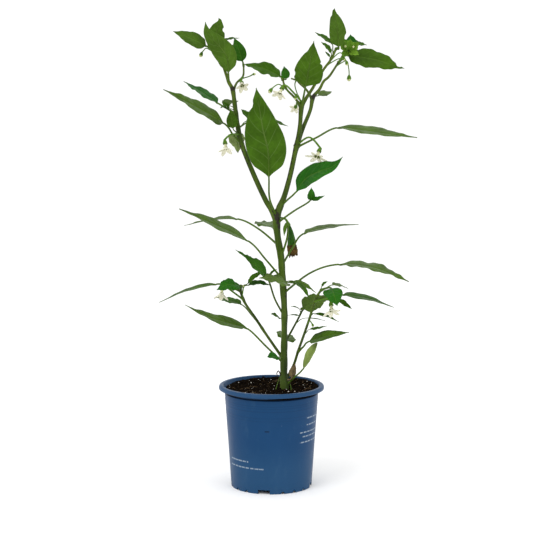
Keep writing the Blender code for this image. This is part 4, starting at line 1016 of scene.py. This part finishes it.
def add_loose_bit(bm, scatter, small, large, stretch):
    x, y = scattered_place(scatter, MIX_RADIUS - 0.001)
    size = small + (large - small) * scatter.random() ** 2.5
    shape = Matrix.Diagonal((size * mix(1.0, stretch, scatter.random()), size,
                             size * mix(0.5, 1.0, scatter.random()), 1.0))
    turn = Matrix.Rotation(6.28 * scatter.random(), 4, "Z") @ Matrix.Rotation(
        scatter.uniform(-0.6, 0.6), 4, "X")
    place = Matrix.Translation((x, y, soil_height(x, y) + 0.25 * size))
    bmesh.ops.create_icosphere(bm, subdivisions=1, radius=1.0, matrix=place @ turn @ shape)


def add_fibre(bm, scatter):
    """A fine root that wanders over the top of the mix."""
    x, y = scattered_place(scatter, MIX_RADIUS - 0.008)
    heading = 2.0 * math.pi * scatter.random()
    length = scatter.uniform(0.004, 0.012)
    points = []
    for _ in range(4):
        heading += scatter.uniform(-0.5, 0.5)
        points.append(Vector((x, y, soil_height(x, y) + 0.0005 + 0.0006 * scatter.random())))
        x += length / 3.0 * math.cos(heading)
        y += length / 3.0 * math.sin(heading)
        if math.hypot(x, y) > MIX_RADIUS - 0.002:
            break
    if len(points) > 2:
        add_tube(bm, sample_path(points, [FIBRE_RADIUS] * len(points), 8), 5)


def build_soil(materials):
    plain = frame["nodes"]["soil"].data.materials
    plain.clear()
    plain.append(materials["potting_mix_dark"])

    def top(u, v):
        angle = 2.0 * math.pi * u
        x, y = polar(angle, soil_reach(angle) * v)
        return Vector((x, y, soil_height(x, y) if v < 0.999 else SOIL_EDGE - 0.0005))

    bm = bmesh.new()
    mapped_grid(bm, 220, 80, top)
    piece("soil_top_layer", bm, [materials["potting_mix_dark"]])
    scatter = random.Random(7)
    for name, material, count, small, large, stretch in LOOSE_BITS:
        bm = bmesh.new()
        for _ in range(count):
            add_loose_bit(bm, scatter, small, large, stretch)
        made = piece(name, bm, [materials[material]])
        made.data.set_sharp_from_angle(angle=math.radians(50))
    bm = bmesh.new()
    for _ in range(FIBRES):
        add_fibre(bm, scatter)
    piece("root_fibres", bm, [materials["root_fibres"]])


# ---------------------------------------------------------------- stems

WOODY = ("main_stem", "left_branch", "right_outer_branch")
STEM_VOXEL = 0.00052
UPPER_STEMS = (0.42, 0.49, 0.80)  # between these heights the stems thin to this share

# Places on the skin with the purple-black of the fork, and their reach
DARK_SPOTS = (
    ((0.0027, -0.0055, 0.3165), 0.0030), ((0.0055, -0.0055, 0.3120), 0.0034),
    ((0.0063, -0.0055, 0.3075), 0.0034), ((0.0080, -0.0055, 0.3030), 0.0032),
    ((0.0095, -0.0055, 0.2980), 0.0030), ((0.0110, -0.0050, 0.2930), 0.0026),
    ((0.0180, -0.0060, 0.2290), 0.0028), ((0.0180, -0.0060, 0.2240), 0.0028),
    ((0.0175, -0.0060, 0.2190), 0.0024),
)
# Stem, height, reach and strength of the other purple-black places
DARK_KNOTS = (
    ("main_stem", 0.3900, 0.0034, 0.55), ("main_stem", 0.4340, 0.0026, 0.45),
    ("main_stem", 0.4840, 0.0030, 0.6), ("right_outer_branch", 0.4430, 0.0036, 1.0),
    ("right_outer_branch", 0.4790, 0.0030, 0.9), ("left_branch", 0.4520, 0.0038, 0.9),
    ("left_branch", 0.4060, 0.0030, 0.45), ("lower_left_shoot", 0.2220, 0.0026, 0.7),
    ("lower_right_shoot", 0.2200, 0.0024, 0.6),
)
# Stem, first and last height, reach and number of dark spots up its left side
DARK_STREAKS = (
    ("main_stem", 0.352, 0.375, 0.0015, 5), ("main_stem", 0.384, 0.398, 0.0013, 3),
    ("left_branch", 0.362, 0.388, 0.0015, 5),
)


def place_on_stem(path, height):
    """Axis point and radius at a height on a stem; None is its free end."""
    if height is None:
        return path[-1]
    for (low, low_radius), (high, high_radius) in zip(path, path[1:]):
        if low.z <= height <= high.z:
            part = (height - low.z) / (high.z - low.z)
            return low.lerp(high, part), mix(low_radius, high_radius, part)
    return path[0]


def start_of(part, paths):
    """Where a leaf, flower or bud leaves its stem."""
    return place_on_stem(paths[part.parent], part.height)[0]


def stem_paths():
    """Every stem's places and radii, each beginning on its parent's axis."""
    low, high, share = UPPER_STEMS
    paths = {}
    for name, stem in STEMS.items():
        points = [Vector(point[:3]) for point in stem.points]
        radii = [point[3] for point in stem.points]
        if stem.parent:
            points.insert(0, start_of(stem, paths))
            radii.insert(0, radii[0] * 1.05)
        row = sample_path(points, radii, stem.samples)
        paths[name] = [(place, radius * mix(1.0, share, smooth_step(low, high, place.z)))
                       for place, radius in row]
    return paths


def dark_knots_of(paths):
    """Place, reach and strength of each purple-black knot."""
    spots = [(Vector(place), reach, 1.0) for place, reach in DARK_SPOTS]
    for stem, first, last, reach, number in DARK_STREAKS:
        for index in range(number):
            place, radius = place_on_stem(paths[stem], mix(first, last, index / (number - 1)))
            spots.append((place + Vector((-0.75, -0.6, 0.0)) * radius, reach, 0.9))
    return spots + [(place_on_stem(paths[stem], height)[0], reach, strength)
                    for stem, height, reach, strength in DARK_KNOTS]


def knots_of(paths):
    """The places where leaves, shoots and flowers leave a stem, each with its reach."""
    knots = []
    for table in (STEMS, LEAVES, FLOWERS):
        for part in table.values():
            if part.parent:
                place, radius = place_on_stem(paths[part.parent], part.height)
                knots.append((place, 1.7 * radius))
    return knots


def swollen(path, knots):
    """The path with its radius a little larger at each knot."""
    row = []
    for place, radius in path:
        swell = 0.0
        for knot, reach in knots:
            swell = max(swell, math.exp(-((place - knot).length / (1.1 * reach)) ** 2))
        row.append((place, radius * (1.0 + 0.16 * swell)))
    return row


def flared(path, radius, reach):
    """The path with its start widened into its parent stem."""
    row = []
    run = 0.0
    previous = path[0][0]
    for place, size in path:
        run += (place - previous).length
        previous = place
        row.append((place, size + radius * math.exp(-run / reach)))
    return row


def darkness(place, dark_knots):
    value = 0.0
    for knot, reach, strength in dark_knots:
        away = place - knot
        away.y *= 0.5
        distance = away.length
        if distance < 3.0 * reach:
            value = max(value, strength * math.exp(-(distance / (1.35 * reach)) ** 2))
    return value


def mark_knots(mesh, dark_knots):
    """Stores the dark colour of the knots, the weathered brown, and which side gets painted light and which
    gets painted shade.
    """
    dark, brown, sunny = (mesh.attributes.new(name, "FLOAT", "POINT").name
                          for name in ("knot", "weathered", "sunny"))
    dark, brown, sunny = (mesh.attributes[name].data for name in (dark, brown, sunny))
    for index, vertex in enumerate(mesh.vertices):
        high = smooth_step(0.29, 0.33, vertex.co.z) - 0.7 * smooth_step(0.43, 0.46, vertex.co.z)
        dark[index].value = darkness(vertex.co, dark_knots)
        brown[index].value = smooth_step(0.15, 0.8, -vertex.normal.x) * high
        # Painted light and shade: 1 where the skin faces -X towards the key light, 0 where it faces +X
        sunny[index].value = 0.5 - 0.5 * vertex.normal.x


def build_stems(materials, paths, knots, dark_knots):
    """The trunk and its two branches grow together in one skin; the side shoots join it."""
    skin = [materials["stem_skin"]]
    bm = bmesh.new()
    for name in WOODY:
        path = swollen(paths[name], knots)
        if name != "main_stem":
            path = flared(path, 0.0012, 0.006)
        add_tube(bm, path, 30, ridges=5, ridge_depth=0.05)
    closed_up(bm)
    body = new_object("woody", bm)
    remesh = body.modifiers.new("skin", "REMESH")
    remesh.mode = "VOXEL"
    remesh.voxel_size = STEM_VOXEL
    soften = body.modifiers.new("soften", "SMOOTH")
    soften.factor = 0.5
    soften.iterations = 4
    mesh = settled_mesh(body)
    mark_knots(mesh, dark_knots)
    piece_from_mesh("stem_and_branches", mesh, skin, WOODY)
    for name in STEMS:
        if name not in WOODY:
            bm = bmesh.new()
            add_tube(bm, flared(swollen(paths[name], knots), 0.0008, 0.003), 16, ridges=4, ridge_depth=0.05)
            mark_knots(piece("fine_" + name, bm, skin, [name]).data, dark_knots)


# ---------------------------------------------------------------- leaves

STALK_ROWS = 16
RIB_ROWS = 24
RIB_REACH = 0.93  # how far along the blade the midrib runs
THINNEST = 0.00025
COARSE_GRID = (12, 28)


def blade_outline(part, outline):
    """Half-width of an egg-shaped blade, drawn out at both ends, as a share of its widest place."""
    rise, fall = outline
    widest = rise / (rise + fall)
    peak = widest ** rise * (1.0 - widest) ** fall
    body = part ** rise * (1.0 - part) ** fall / peak
    return body * smooth_step(-0.02, 0.16, part)


def bite_share(look, side, part):
    share = 1.0
    for bite_side, place, depth, length in look.bites:
        if bite_side == side:
            share -= depth * math.exp(-((part - place) / length) ** 4)
    return max(share, 0.05)


class LeafRoute:
    """The line of a leaf from inside its stem to its tip, with the way it faces."""

    def __init__(self, leaf, start):
        look = leaf.look
        base, tip = vectors((leaf.base, leaf.tip))
        self.faces = Vector(leaf.faces).normalized()
        side = (tip - base).normalized().cross(self.faces).normalized()
        stalk_middle = start.lerp(base, 0.5) + Vector((0.0, 0.0, leaf.rise)) + Vector(look.lean)
        bends = look.bends or ((0.5, 0.0, leaf.arch),)
        middles = [base.lerp(tip, part) + side * sideways + self.faces * upwards
                   for part, sideways, upwards in bends]
        self.points = [start, stalk_middle, base, *middles, tip]
        self.parts = [0.0, *(part for part, _, _ in bends), 1.0]
        self.last = float(len(self.points) - 1)
        self.twist = math.radians(look.twist)

    def position(self, along_stalk, along_blade):
        """Where on the curve a part of the stalk or of the blade lies."""
        for index, (low, high) in enumerate(zip(self.parts, self.parts[1:])):
            if along_blade <= high:
                return 2.0 * along_stalk + index + (along_blade - low) / (high - low)
        return self.last

    def at(self, along_stalk, along_blade):
        """Place, side and upward vectors; both parts run from 0 to 1."""
        position = self.position(along_stalk, along_blade)
        place = spline_point(self.points, position)
        ahead = spline_point(self.points, min(position + 0.02, self.last))
        behind = spline_point(self.points, max(position - 0.02, 0.0))
        along = (ahead - behind).normalized()
        side = along.cross(self.faces).normalized()
        up = side.cross(along)
        turn = self.twist * along_blade
        cosine, sine = math.cos(turn), math.sin(turn)
        return place, side * cosine + up * sine, up * cosine - side * sine


def add_blade(bm, leaf, route, draw, across, along):
    """The blade: veined, folded along its midrib and waved at its margin."""
    look = leaf.look
    phases = (draw.uniform(0, 6.28), draw.uniform(0, 6.28))
    waves = draw.uniform(2.0, 3.2)
    lean = draw.uniform(0.94, 1.06)
    shift = Vector((draw.uniform(0, 9), draw.uniform(0, 9), draw.uniform(0, 9)))

    def place(u, v):
        a = 2.0 * u - 1.0
        reach = abs(a)
        right = a > 0
        middle, side, up = route.at(1.0, v)
        half = 0.5 * leaf.width * blade_outline(v, look.outline) * (lean if right else 2.0 - lean)
        half = max(half * bite_share(look, 1 if right else -1, v), THINNEST)
        lift = leaf.fold * half * reach - 0.10 * half * reach ** 2
        phase = phases[0] if right else phases[1]
        swing = math.sin(6.28 * waves * v + phase) + 0.5 * math.sin(6.28 * 2.3 * waves * v + 2.0 * phase)
        ends = smooth_step(0.0, 0.2, v) * smooth_step(1.0, 0.8, v)
        lift += look.wave * leaf.width * reach ** 2 * swing * ends
        between = abs(math.sin(math.pi * (SIDE_VEINS * v - VEIN_SWEEP * reach)))
        inner = smooth_step(0.0, 0.25, reach) * smooth_step(1.0, 0.7, reach)
        lift += 0.011 * leaf.width * (between ** 0.6 - 0.5) * inner
        lift -= 0.010 * leaf.width * math.exp(-(reach / 0.06) ** 2)
        spot = middle + side * a * half
        lift += 0.03 * leaf.width * noise.noise(spot * (1.1 / leaf.width) + shift) * reach
        return spot + up * lift

    sheet = bmesh.new()
    mapped_grid(sheet, across, along, place)
    tones = sheet.verts.layers.float.new("tone")
    for vertex in sheet.verts:
        vertex[tones] = look.tone
    add_walled_sheet(bm, sheet, BLADE_WALL, True)


def add_stalk(bm, leaf, route, size, sides):
    """The leaf stalk, wide at the stem, which runs on under the blade as its midrib."""
    path = []
    run = 0.0
    previous = None
    for row in range(STALK_ROWS + RIB_ROWS + 1):
        on_stalk = min(row / STALK_ROWS, 1.0)
        on_blade = RIB_REACH * max(row - STALK_ROWS, 0) / RIB_ROWS
        place, _, up = route.at(on_stalk, on_blade)
        if previous is not None:
            run += (place - previous).length
        previous = place
        stalk = mix(STALK_RADIUS, 0.85 * STALK_RADIUS, on_stalk)
        rib = MIDRIB_RADIUS * (1.0 - 0.8 * on_blade)
        thin = mix(stalk, rib, smooth_step(0.0, 0.12, on_blade))
        radius = size * (thin + 0.0009 * math.exp(-run / 0.0035))
        under = smooth_step(-0.1, 0.06, on_blade) if row > STALK_ROWS else 0.0
        path.append((place - up * under * (0.010 * leaf.width + 0.7 * radius), radius))
    add_tube(bm, path, sides, material=2)


def build_leaf(name, leaf, materials, paths, replaced, fine=True):
    route = LeafRoute(leaf, start_of(leaf, paths))
    length = (Vector(leaf.tip) - Vector(leaf.base)).length
    bm = bmesh.new()
    bm.verts.layers.float.new("tone")
    add_blade(bm, leaf, route, random.Random(name), *(
        (BLADE_ACROSS, BLADE_ALONG) if fine else COARSE_GRID))
    size = min(1.0, max(0.35, leaf.width / 0.020, length / 0.060))
    size = leaf.look.stalk or (size if fine else min(size, 0.6))
    add_stalk(bm, leaf, route, size, 12 if fine else 8)
    skins = ["leaf_young", "leaf_young"] if leaf.look.young else ["leaf_upper", "leaf_lower"]
    piece(name, bm, [materials[skin] for skin in (*skins, "stalk_skin")], replaced)


# ---------------------------------------------------------------- flowers, buds and fruit

FULL_FLOWER = 0.0125  # petal length of a full-grown flower
PETAL_STEPS = 24
PETAL_WALL = 0.00028
PETAL_COLUMNS = 12


def turned_to(faces, centre):
    """The matrix that takes a flower built along +Z to its place."""
    turn = Vector(faces).to_track_quat("Z", "Y").to_matrix().to_4x4()
    return Matrix.Translation(centre) @ turn


def petal_profile(radius, opening, mouth):
    """Distances from the axis and along it, as a petal flares outwards."""
    row = []
    out, forward = mouth, 0.0
    for step in range(PETAL_STEPS + 1):
        row.append((out, forward))
        bend = math.radians(90.0) * opening * smooth_step(0.0, 0.55, step / PETAL_STEPS)
        out += radius * 1.12 / PETAL_STEPS * math.sin(bend)
        forward += radius * 1.12 / PETAL_STEPS * math.cos(bend)
    return row


def add_corolla(bm, flower, draw, matrix, material, crumple=0.0, mouth=0.0012):
    """Pointed petals joined at their base, each with a crease and a curled tip."""
    profile = petal_profile(flower.radius, flower.opening, mouth)
    bends = [draw.uniform(-0.18, 0.18) for _ in range(flower.petals)]
    lengths = [draw.uniform(0.92, 1.06) for _ in range(flower.petals)]
    shift = draw.uniform(0.0, 20.0)

    def place(u, v):
        turn = (u % 1.0) * flower.petals
        petal = int(turn) % flower.petals
        across = 2.0 * (turn - int(turn)) - 1.0
        reach = mix(flower.joined, 1.0, (1.0 - abs(across) ** 1.35) ** 0.9)
        reach *= mix(1.0, lengths[petal], 1.0 - abs(across))
        part = v * min(reach, 1.0) * PETAL_STEPS
        index = min(int(part), PETAL_STEPS - 1)
        out, forward = (mix(low, high, part - index) for low, high in zip(*profile[index:index + 2]))
        along = part / PETAL_STEPS
        forward += flower.radius * (0.10 * across ** 2 - 0.04) * along
        forward += flower.radius * bends[petal] * along ** 2 * (1.0 - across ** 2)
        narrow = 1.0 - 0.15 * along ** 2
        angle = 2.0 * math.pi * (petal + 0.5 + 0.5 * across * narrow) / flower.petals
        if crumple:
            spot = Vector((*polar(angle, 2.0), along * 3.0 + shift))
            out *= 1.0 + crumple * noise.noise(spot * 1.9)
            forward += crumple * flower.radius * noise.noise(spot * 2.7)
        return matrix @ Vector((*polar(angle, out), forward))

    sheet = bmesh.new()
    mapped_grid(sheet, PETAL_COLUMNS * flower.petals, PETAL_STEPS, place, material)
    bmesh.ops.remove_doubles(sheet, verts=sheet.verts, dist=MERGE_DISTANCE)
    add_walled_sheet(bm, sheet, PETAL_WALL, False)


def add_calyx(bm, size, matrix, teeth=5):
    """A ribbed green cup with small teeth, its mouth at the origin."""
    def place(u, v):
        angle = -2.0 * math.pi * u
        rib = 1.0 + 0.06 * math.cos(2 * teeth * angle)
        if v < 0.7:
            part = v / 0.7
            out = math.sin(part * math.pi / 2.0) ** 0.8
            forward = mix(-2.1, 0.0, part ** 1.15)
        else:
            part = (v - 0.7) / 0.3
            out = 1.0 - part
            forward = -0.5 * part
        tooth = 0.35 * max(math.cos(teeth * angle), 0.0) * math.exp(-((v - 0.7) / 0.06) ** 2)
        return matrix @ Vector((*polar(angle, size * out * rib), size * (forward + tooth)))

    mapped_grid(bm, 30, 20, place, 1)


def add_stamens(bm, flower, matrix):
    """Slim filaments with olive anthers round a pale pistil."""
    size = flower.radius / FULL_FLOWER
    for number in range(flower.petals):
        side = Vector((*polar(2.0 * math.pi * (number + 0.25) / flower.petals, 1.0), 0.0))
        low = matrix @ (side * 0.0011 * size)
        high = matrix @ (side * 0.0019 * size + Vector((0.0, 0.0, 0.0040 * size)))
        add_tube(bm, sample_path([low, low.lerp(high, 0.5), high], [0.00016 * size] * 3, 5), 6, material=2)
        anther = matrix @ Matrix.Translation(side * 0.0020 * size + Vector((0, 0, 0.0050 * size)))
        shape = Matrix.Diagonal((0.00062 * size, 0.00062 * size, 0.00135 * size, 1.0))
        before = len(bm.faces)
        bmesh.ops.create_uvsphere(bm, u_segments=10, v_segments=8, radius=1.0, matrix=anther @ shape)
        paint_from(bm, before, 3)
    top = matrix @ Vector((0.0, 0.0, 0.0068 * size))
    bottom = matrix @ Vector((0.0, 0.0, 0.0))
    add_tube(bm, sample_path([bottom, bottom.lerp(top, 0.5), top],
                             [0.0009 * size, 0.00025 * size, 0.00042 * size], 10), 8, material=2)


def add_flower_stalk(bm, points, radii, sides):
    add_tube(bm, flared(sample_path(points, radii, 8 * len(points)), 0.0006, 0.0022), sides, 1)


def build_flower(name, flower, materials, paths):
    faces = Vector(flower.faces).normalized()
    mouth = Vector(flower.centre) - faces * 0.0020
    matrix = turned_to(faces, mouth)
    bm = bmesh.new()
    points = [start_of(flower, paths), Vector(flower.bend), mouth - faces * 0.0050, mouth - faces * 0.0030]
    thick = min(1.0, flower.radius / FULL_FLOWER)
    add_flower_stalk(bm, points, [0.0011 * thick, 0.0010 * thick, 0.0012 * thick, 0.0015], 12)
    add_calyx(bm, 0.0026 * (0.5 + 0.5 * thick), matrix)
    add_corolla(bm, flower, random.Random(name), matrix, 0)
    add_stamens(bm, flower, matrix)
    skins = [materials[skin] for skin in ("petal_cream", "calyx_green", "filament_pale", "anther_olive")]
    piece("fine_" + name, bm, skins, [name])


def build_bud(name, bud, materials, paths, replaced):
    """A nodding bud: stalk, calyx and the closed, ribbed petals."""
    *stalk, before, last = vectors(bud.points)
    size = bud.size
    along = (last - before).normalized()
    bm = bmesh.new()
    route = [start_of(bud, paths), *stalk, last - along * size * 1.2]
    if len(route) > 2:
        add_flower_stalk(bm, route, [0.0006] * (len(route) - 1) + [0.0008], 10)
    matrix = turned_to(along, last - along * size * 0.2)
    add_calyx(bm, size * 0.92, matrix)

    def place(u, v):
        angle = -2.0 * math.pi * u
        out = math.sin(math.pi * v) ** 0.75 * (1.0 + 0.07 * math.cos(5 * angle))
        return matrix @ (Vector((*polar(angle, out), mix(-0.8, 1.25, v))) * size * 0.88)

    mapped_grid(bm, 25, 14, place)
    piece(("fine_" if replaced else "") + name, bm, [materials["bud_cream"], materials["calyx_green"]],
          replaced)


def build_fruit(materials, paths):
    """The young fruit hangs from its calyx and still carries its withered petals."""
    points = vectors(YOUNG_FRUIT.points)
    bm = bmesh.new()
    add_flower_stalk(bm, [start_of(YOUNG_FRUIT, paths), *points[:2]], [0.0010, 0.0012, 0.0016], 14)
    axis = (points[2] - points[1]).normalized()
    add_calyx(bm, 0.0022, turned_to(axis, points[1] + axis * 0.0022), teeth=6)
    body = sample_path(points[1:6], [0.0013, 0.0027, 0.0043, 0.0047, 0.0036], 44)
    add_tube(bm, body, 36, ridges=6, ridge_depth=0.075)
    end_axis = (points[-1] - points[-2]).normalized()
    draw = random.Random("withered")
    for size, opening, place in ((0.0104, 0.05, points[4]), (0.0098, 0.02, points[4] + end_axis * 0.001)):
        cup = Flower(None, None, None, None, None, size, 5, opening, 0.75)
        add_corolla(bm, cup, draw, turned_to(end_axis, place), 2, crumple=0.46, mouth=0.0045)
    skins = [materials[skin] for skin in ("fruit_skin", "calyx_green", "withered_brown")]
    piece("fine_young_fruit", bm, skins, ["young_fruit"])


BRACT = Leaf("main_stem", 0.1230, (0.0225, -0.0165, 0.1270), (0.0268, -0.0180, 0.1445), 0.0085,
             (-0.2, 0.9, 0.2), 0.0, 0.001, 0.5, Look(0.5, 0.08))

# Name, material, samples, radii and lines of the thin things at the foot of the stem
FOOT_DETAILS = (
    ("dead_tendril", "dead_tendril", 24, (0.0007, 0.0006, 0.0006, 0.0003), (
        ((0.0105, -0.014, 0.1300), (0.0080, -0.016, 0.1355), (0.0060, -0.017, 0.1330),
         (0.0070, -0.017, 0.1290)),)),
    ("thin_sprouts", "stalk_skin", 16, (0.0006, 0.0005, 0.0003), (
        ((0.0045, -0.016, 0.1125), (0.0065, -0.015, 0.1200), (0.0098, -0.013, 0.1300)),
        ((0.0225, -0.016, 0.1125), (0.0215, -0.014, 0.1180), (0.0195, -0.012, 0.1230)))),
)


def build_base_details(materials, paths):
    """Dry bract, dead tendril and thin sprouts at the foot of the stem."""
    route = LeafRoute(BRACT, start_of(BRACT, paths))
    bm = bmesh.new()
    bm.verts.layers.float.new("tone")
    add_blade(bm, BRACT, route, random.Random("bract"), 10, 24)
    add_stalk(bm, BRACT, route, 0.7, 8)
    piece("dry_bract", bm, [materials["dry_bract"]] * 3)
    for name, material, samples, radii, lines in FOOT_DETAILS:
        bm = bmesh.new()
        for line in lines:
            add_tube(bm, sample_path(vectors(line), radii, samples), 8)
        piece(name, bm, [materials[material]])


# ---------------------------------------------------------------- studio

FLOOR_SIZE = 60.0
SKY_STRENGTH = 1.07
LIGHTS_FACE = Vector((0.0, 0.0, 0.28))
# Name, place, size and power
LIGHTS = (
    ("key_light", (-1.1, -1.5, 2.1), 1.2, 20.0),
    ("fill_light", (1.5, -1.3, 1.1), 1.4, 5.0),
)
CAMERA_PLACE = (-0.0057, -2.0, 0.52)
CAMERA_TILT = math.radians(82.38)
CAMERA_LENS = 120.56
CAMERA_SENSOR = 36.0


def add_to_stage(name, data, place, rotation):
    made = bpy.data.objects.new(name, data)
    made.location = place
    made.rotation_euler = rotation
    bpy.context.scene.collection.objects.link(made)
    return made


def build_stage():
    bpy.ops.mesh.primitive_plane_add(size=FLOOR_SIZE, location=(0.0, 0.0, 0.0))
    floor = bpy.context.object
    floor.name = "studio_floor"
    white = Shader("studio_white", 0.9, specular=0.1)
    white.colour((0.985, 0.985, 0.985))
    floor.data.materials.append(white.material)

    world = bpy.data.worlds.new("studio_world")
    world.use_nodes = True
    sky = world.node_tree.nodes["Background"]
    sky.inputs["Color"].default_value = (1.0, 1.0, 1.0, 1.0)
    sky.inputs["Strength"].default_value = SKY_STRENGTH
    bpy.context.scene.world = world
    bpy.context.scene.view_settings.view_transform = "Standard"

    for name, place, size, power in LIGHTS:
        light = bpy.data.lights.new(name, "AREA")
        light.size = size
        light.energy = power
        aim = (LIGHTS_FACE - Vector(place)).to_track_quat("-Z", "Y")
        add_to_stage(name, light, place, aim.to_euler())

    view = bpy.data.cameras.new("view")
    view.sensor_width = CAMERA_SENSOR
    view.lens = CAMERA_LENS
    bpy.context.scene.camera = add_to_stage("view", view, CAMERA_PLACE, (CAMERA_TILT, 0.0, 0.0))


def main():
    materials = make_materials()
    build_pot(materials)
    build_soil(materials)
    paths = stem_paths()
    build_stems(materials, paths, knots_of(paths), dark_knots_of(paths))
    for name, leaf in LEAVES.items():
        build_leaf("fine_" + name, leaf, materials, paths, [name])
    for name, leaf in SMALL_LEAVES.items():
        build_leaf(name, leaf, materials, paths, [], fine=False)
    for name, flower in FLOWERS.items():
        build_flower(name, flower, materials, paths)
    for name, bud in BUDS.items():
        build_bud(name, bud, materials, paths, [name])
    for name, bud in SMALL_BUDS.items():
        build_bud(name, bud, materials, paths, [])
    build_fruit(materials, paths)
    build_base_details(materials, paths)
    build_stage()


main()
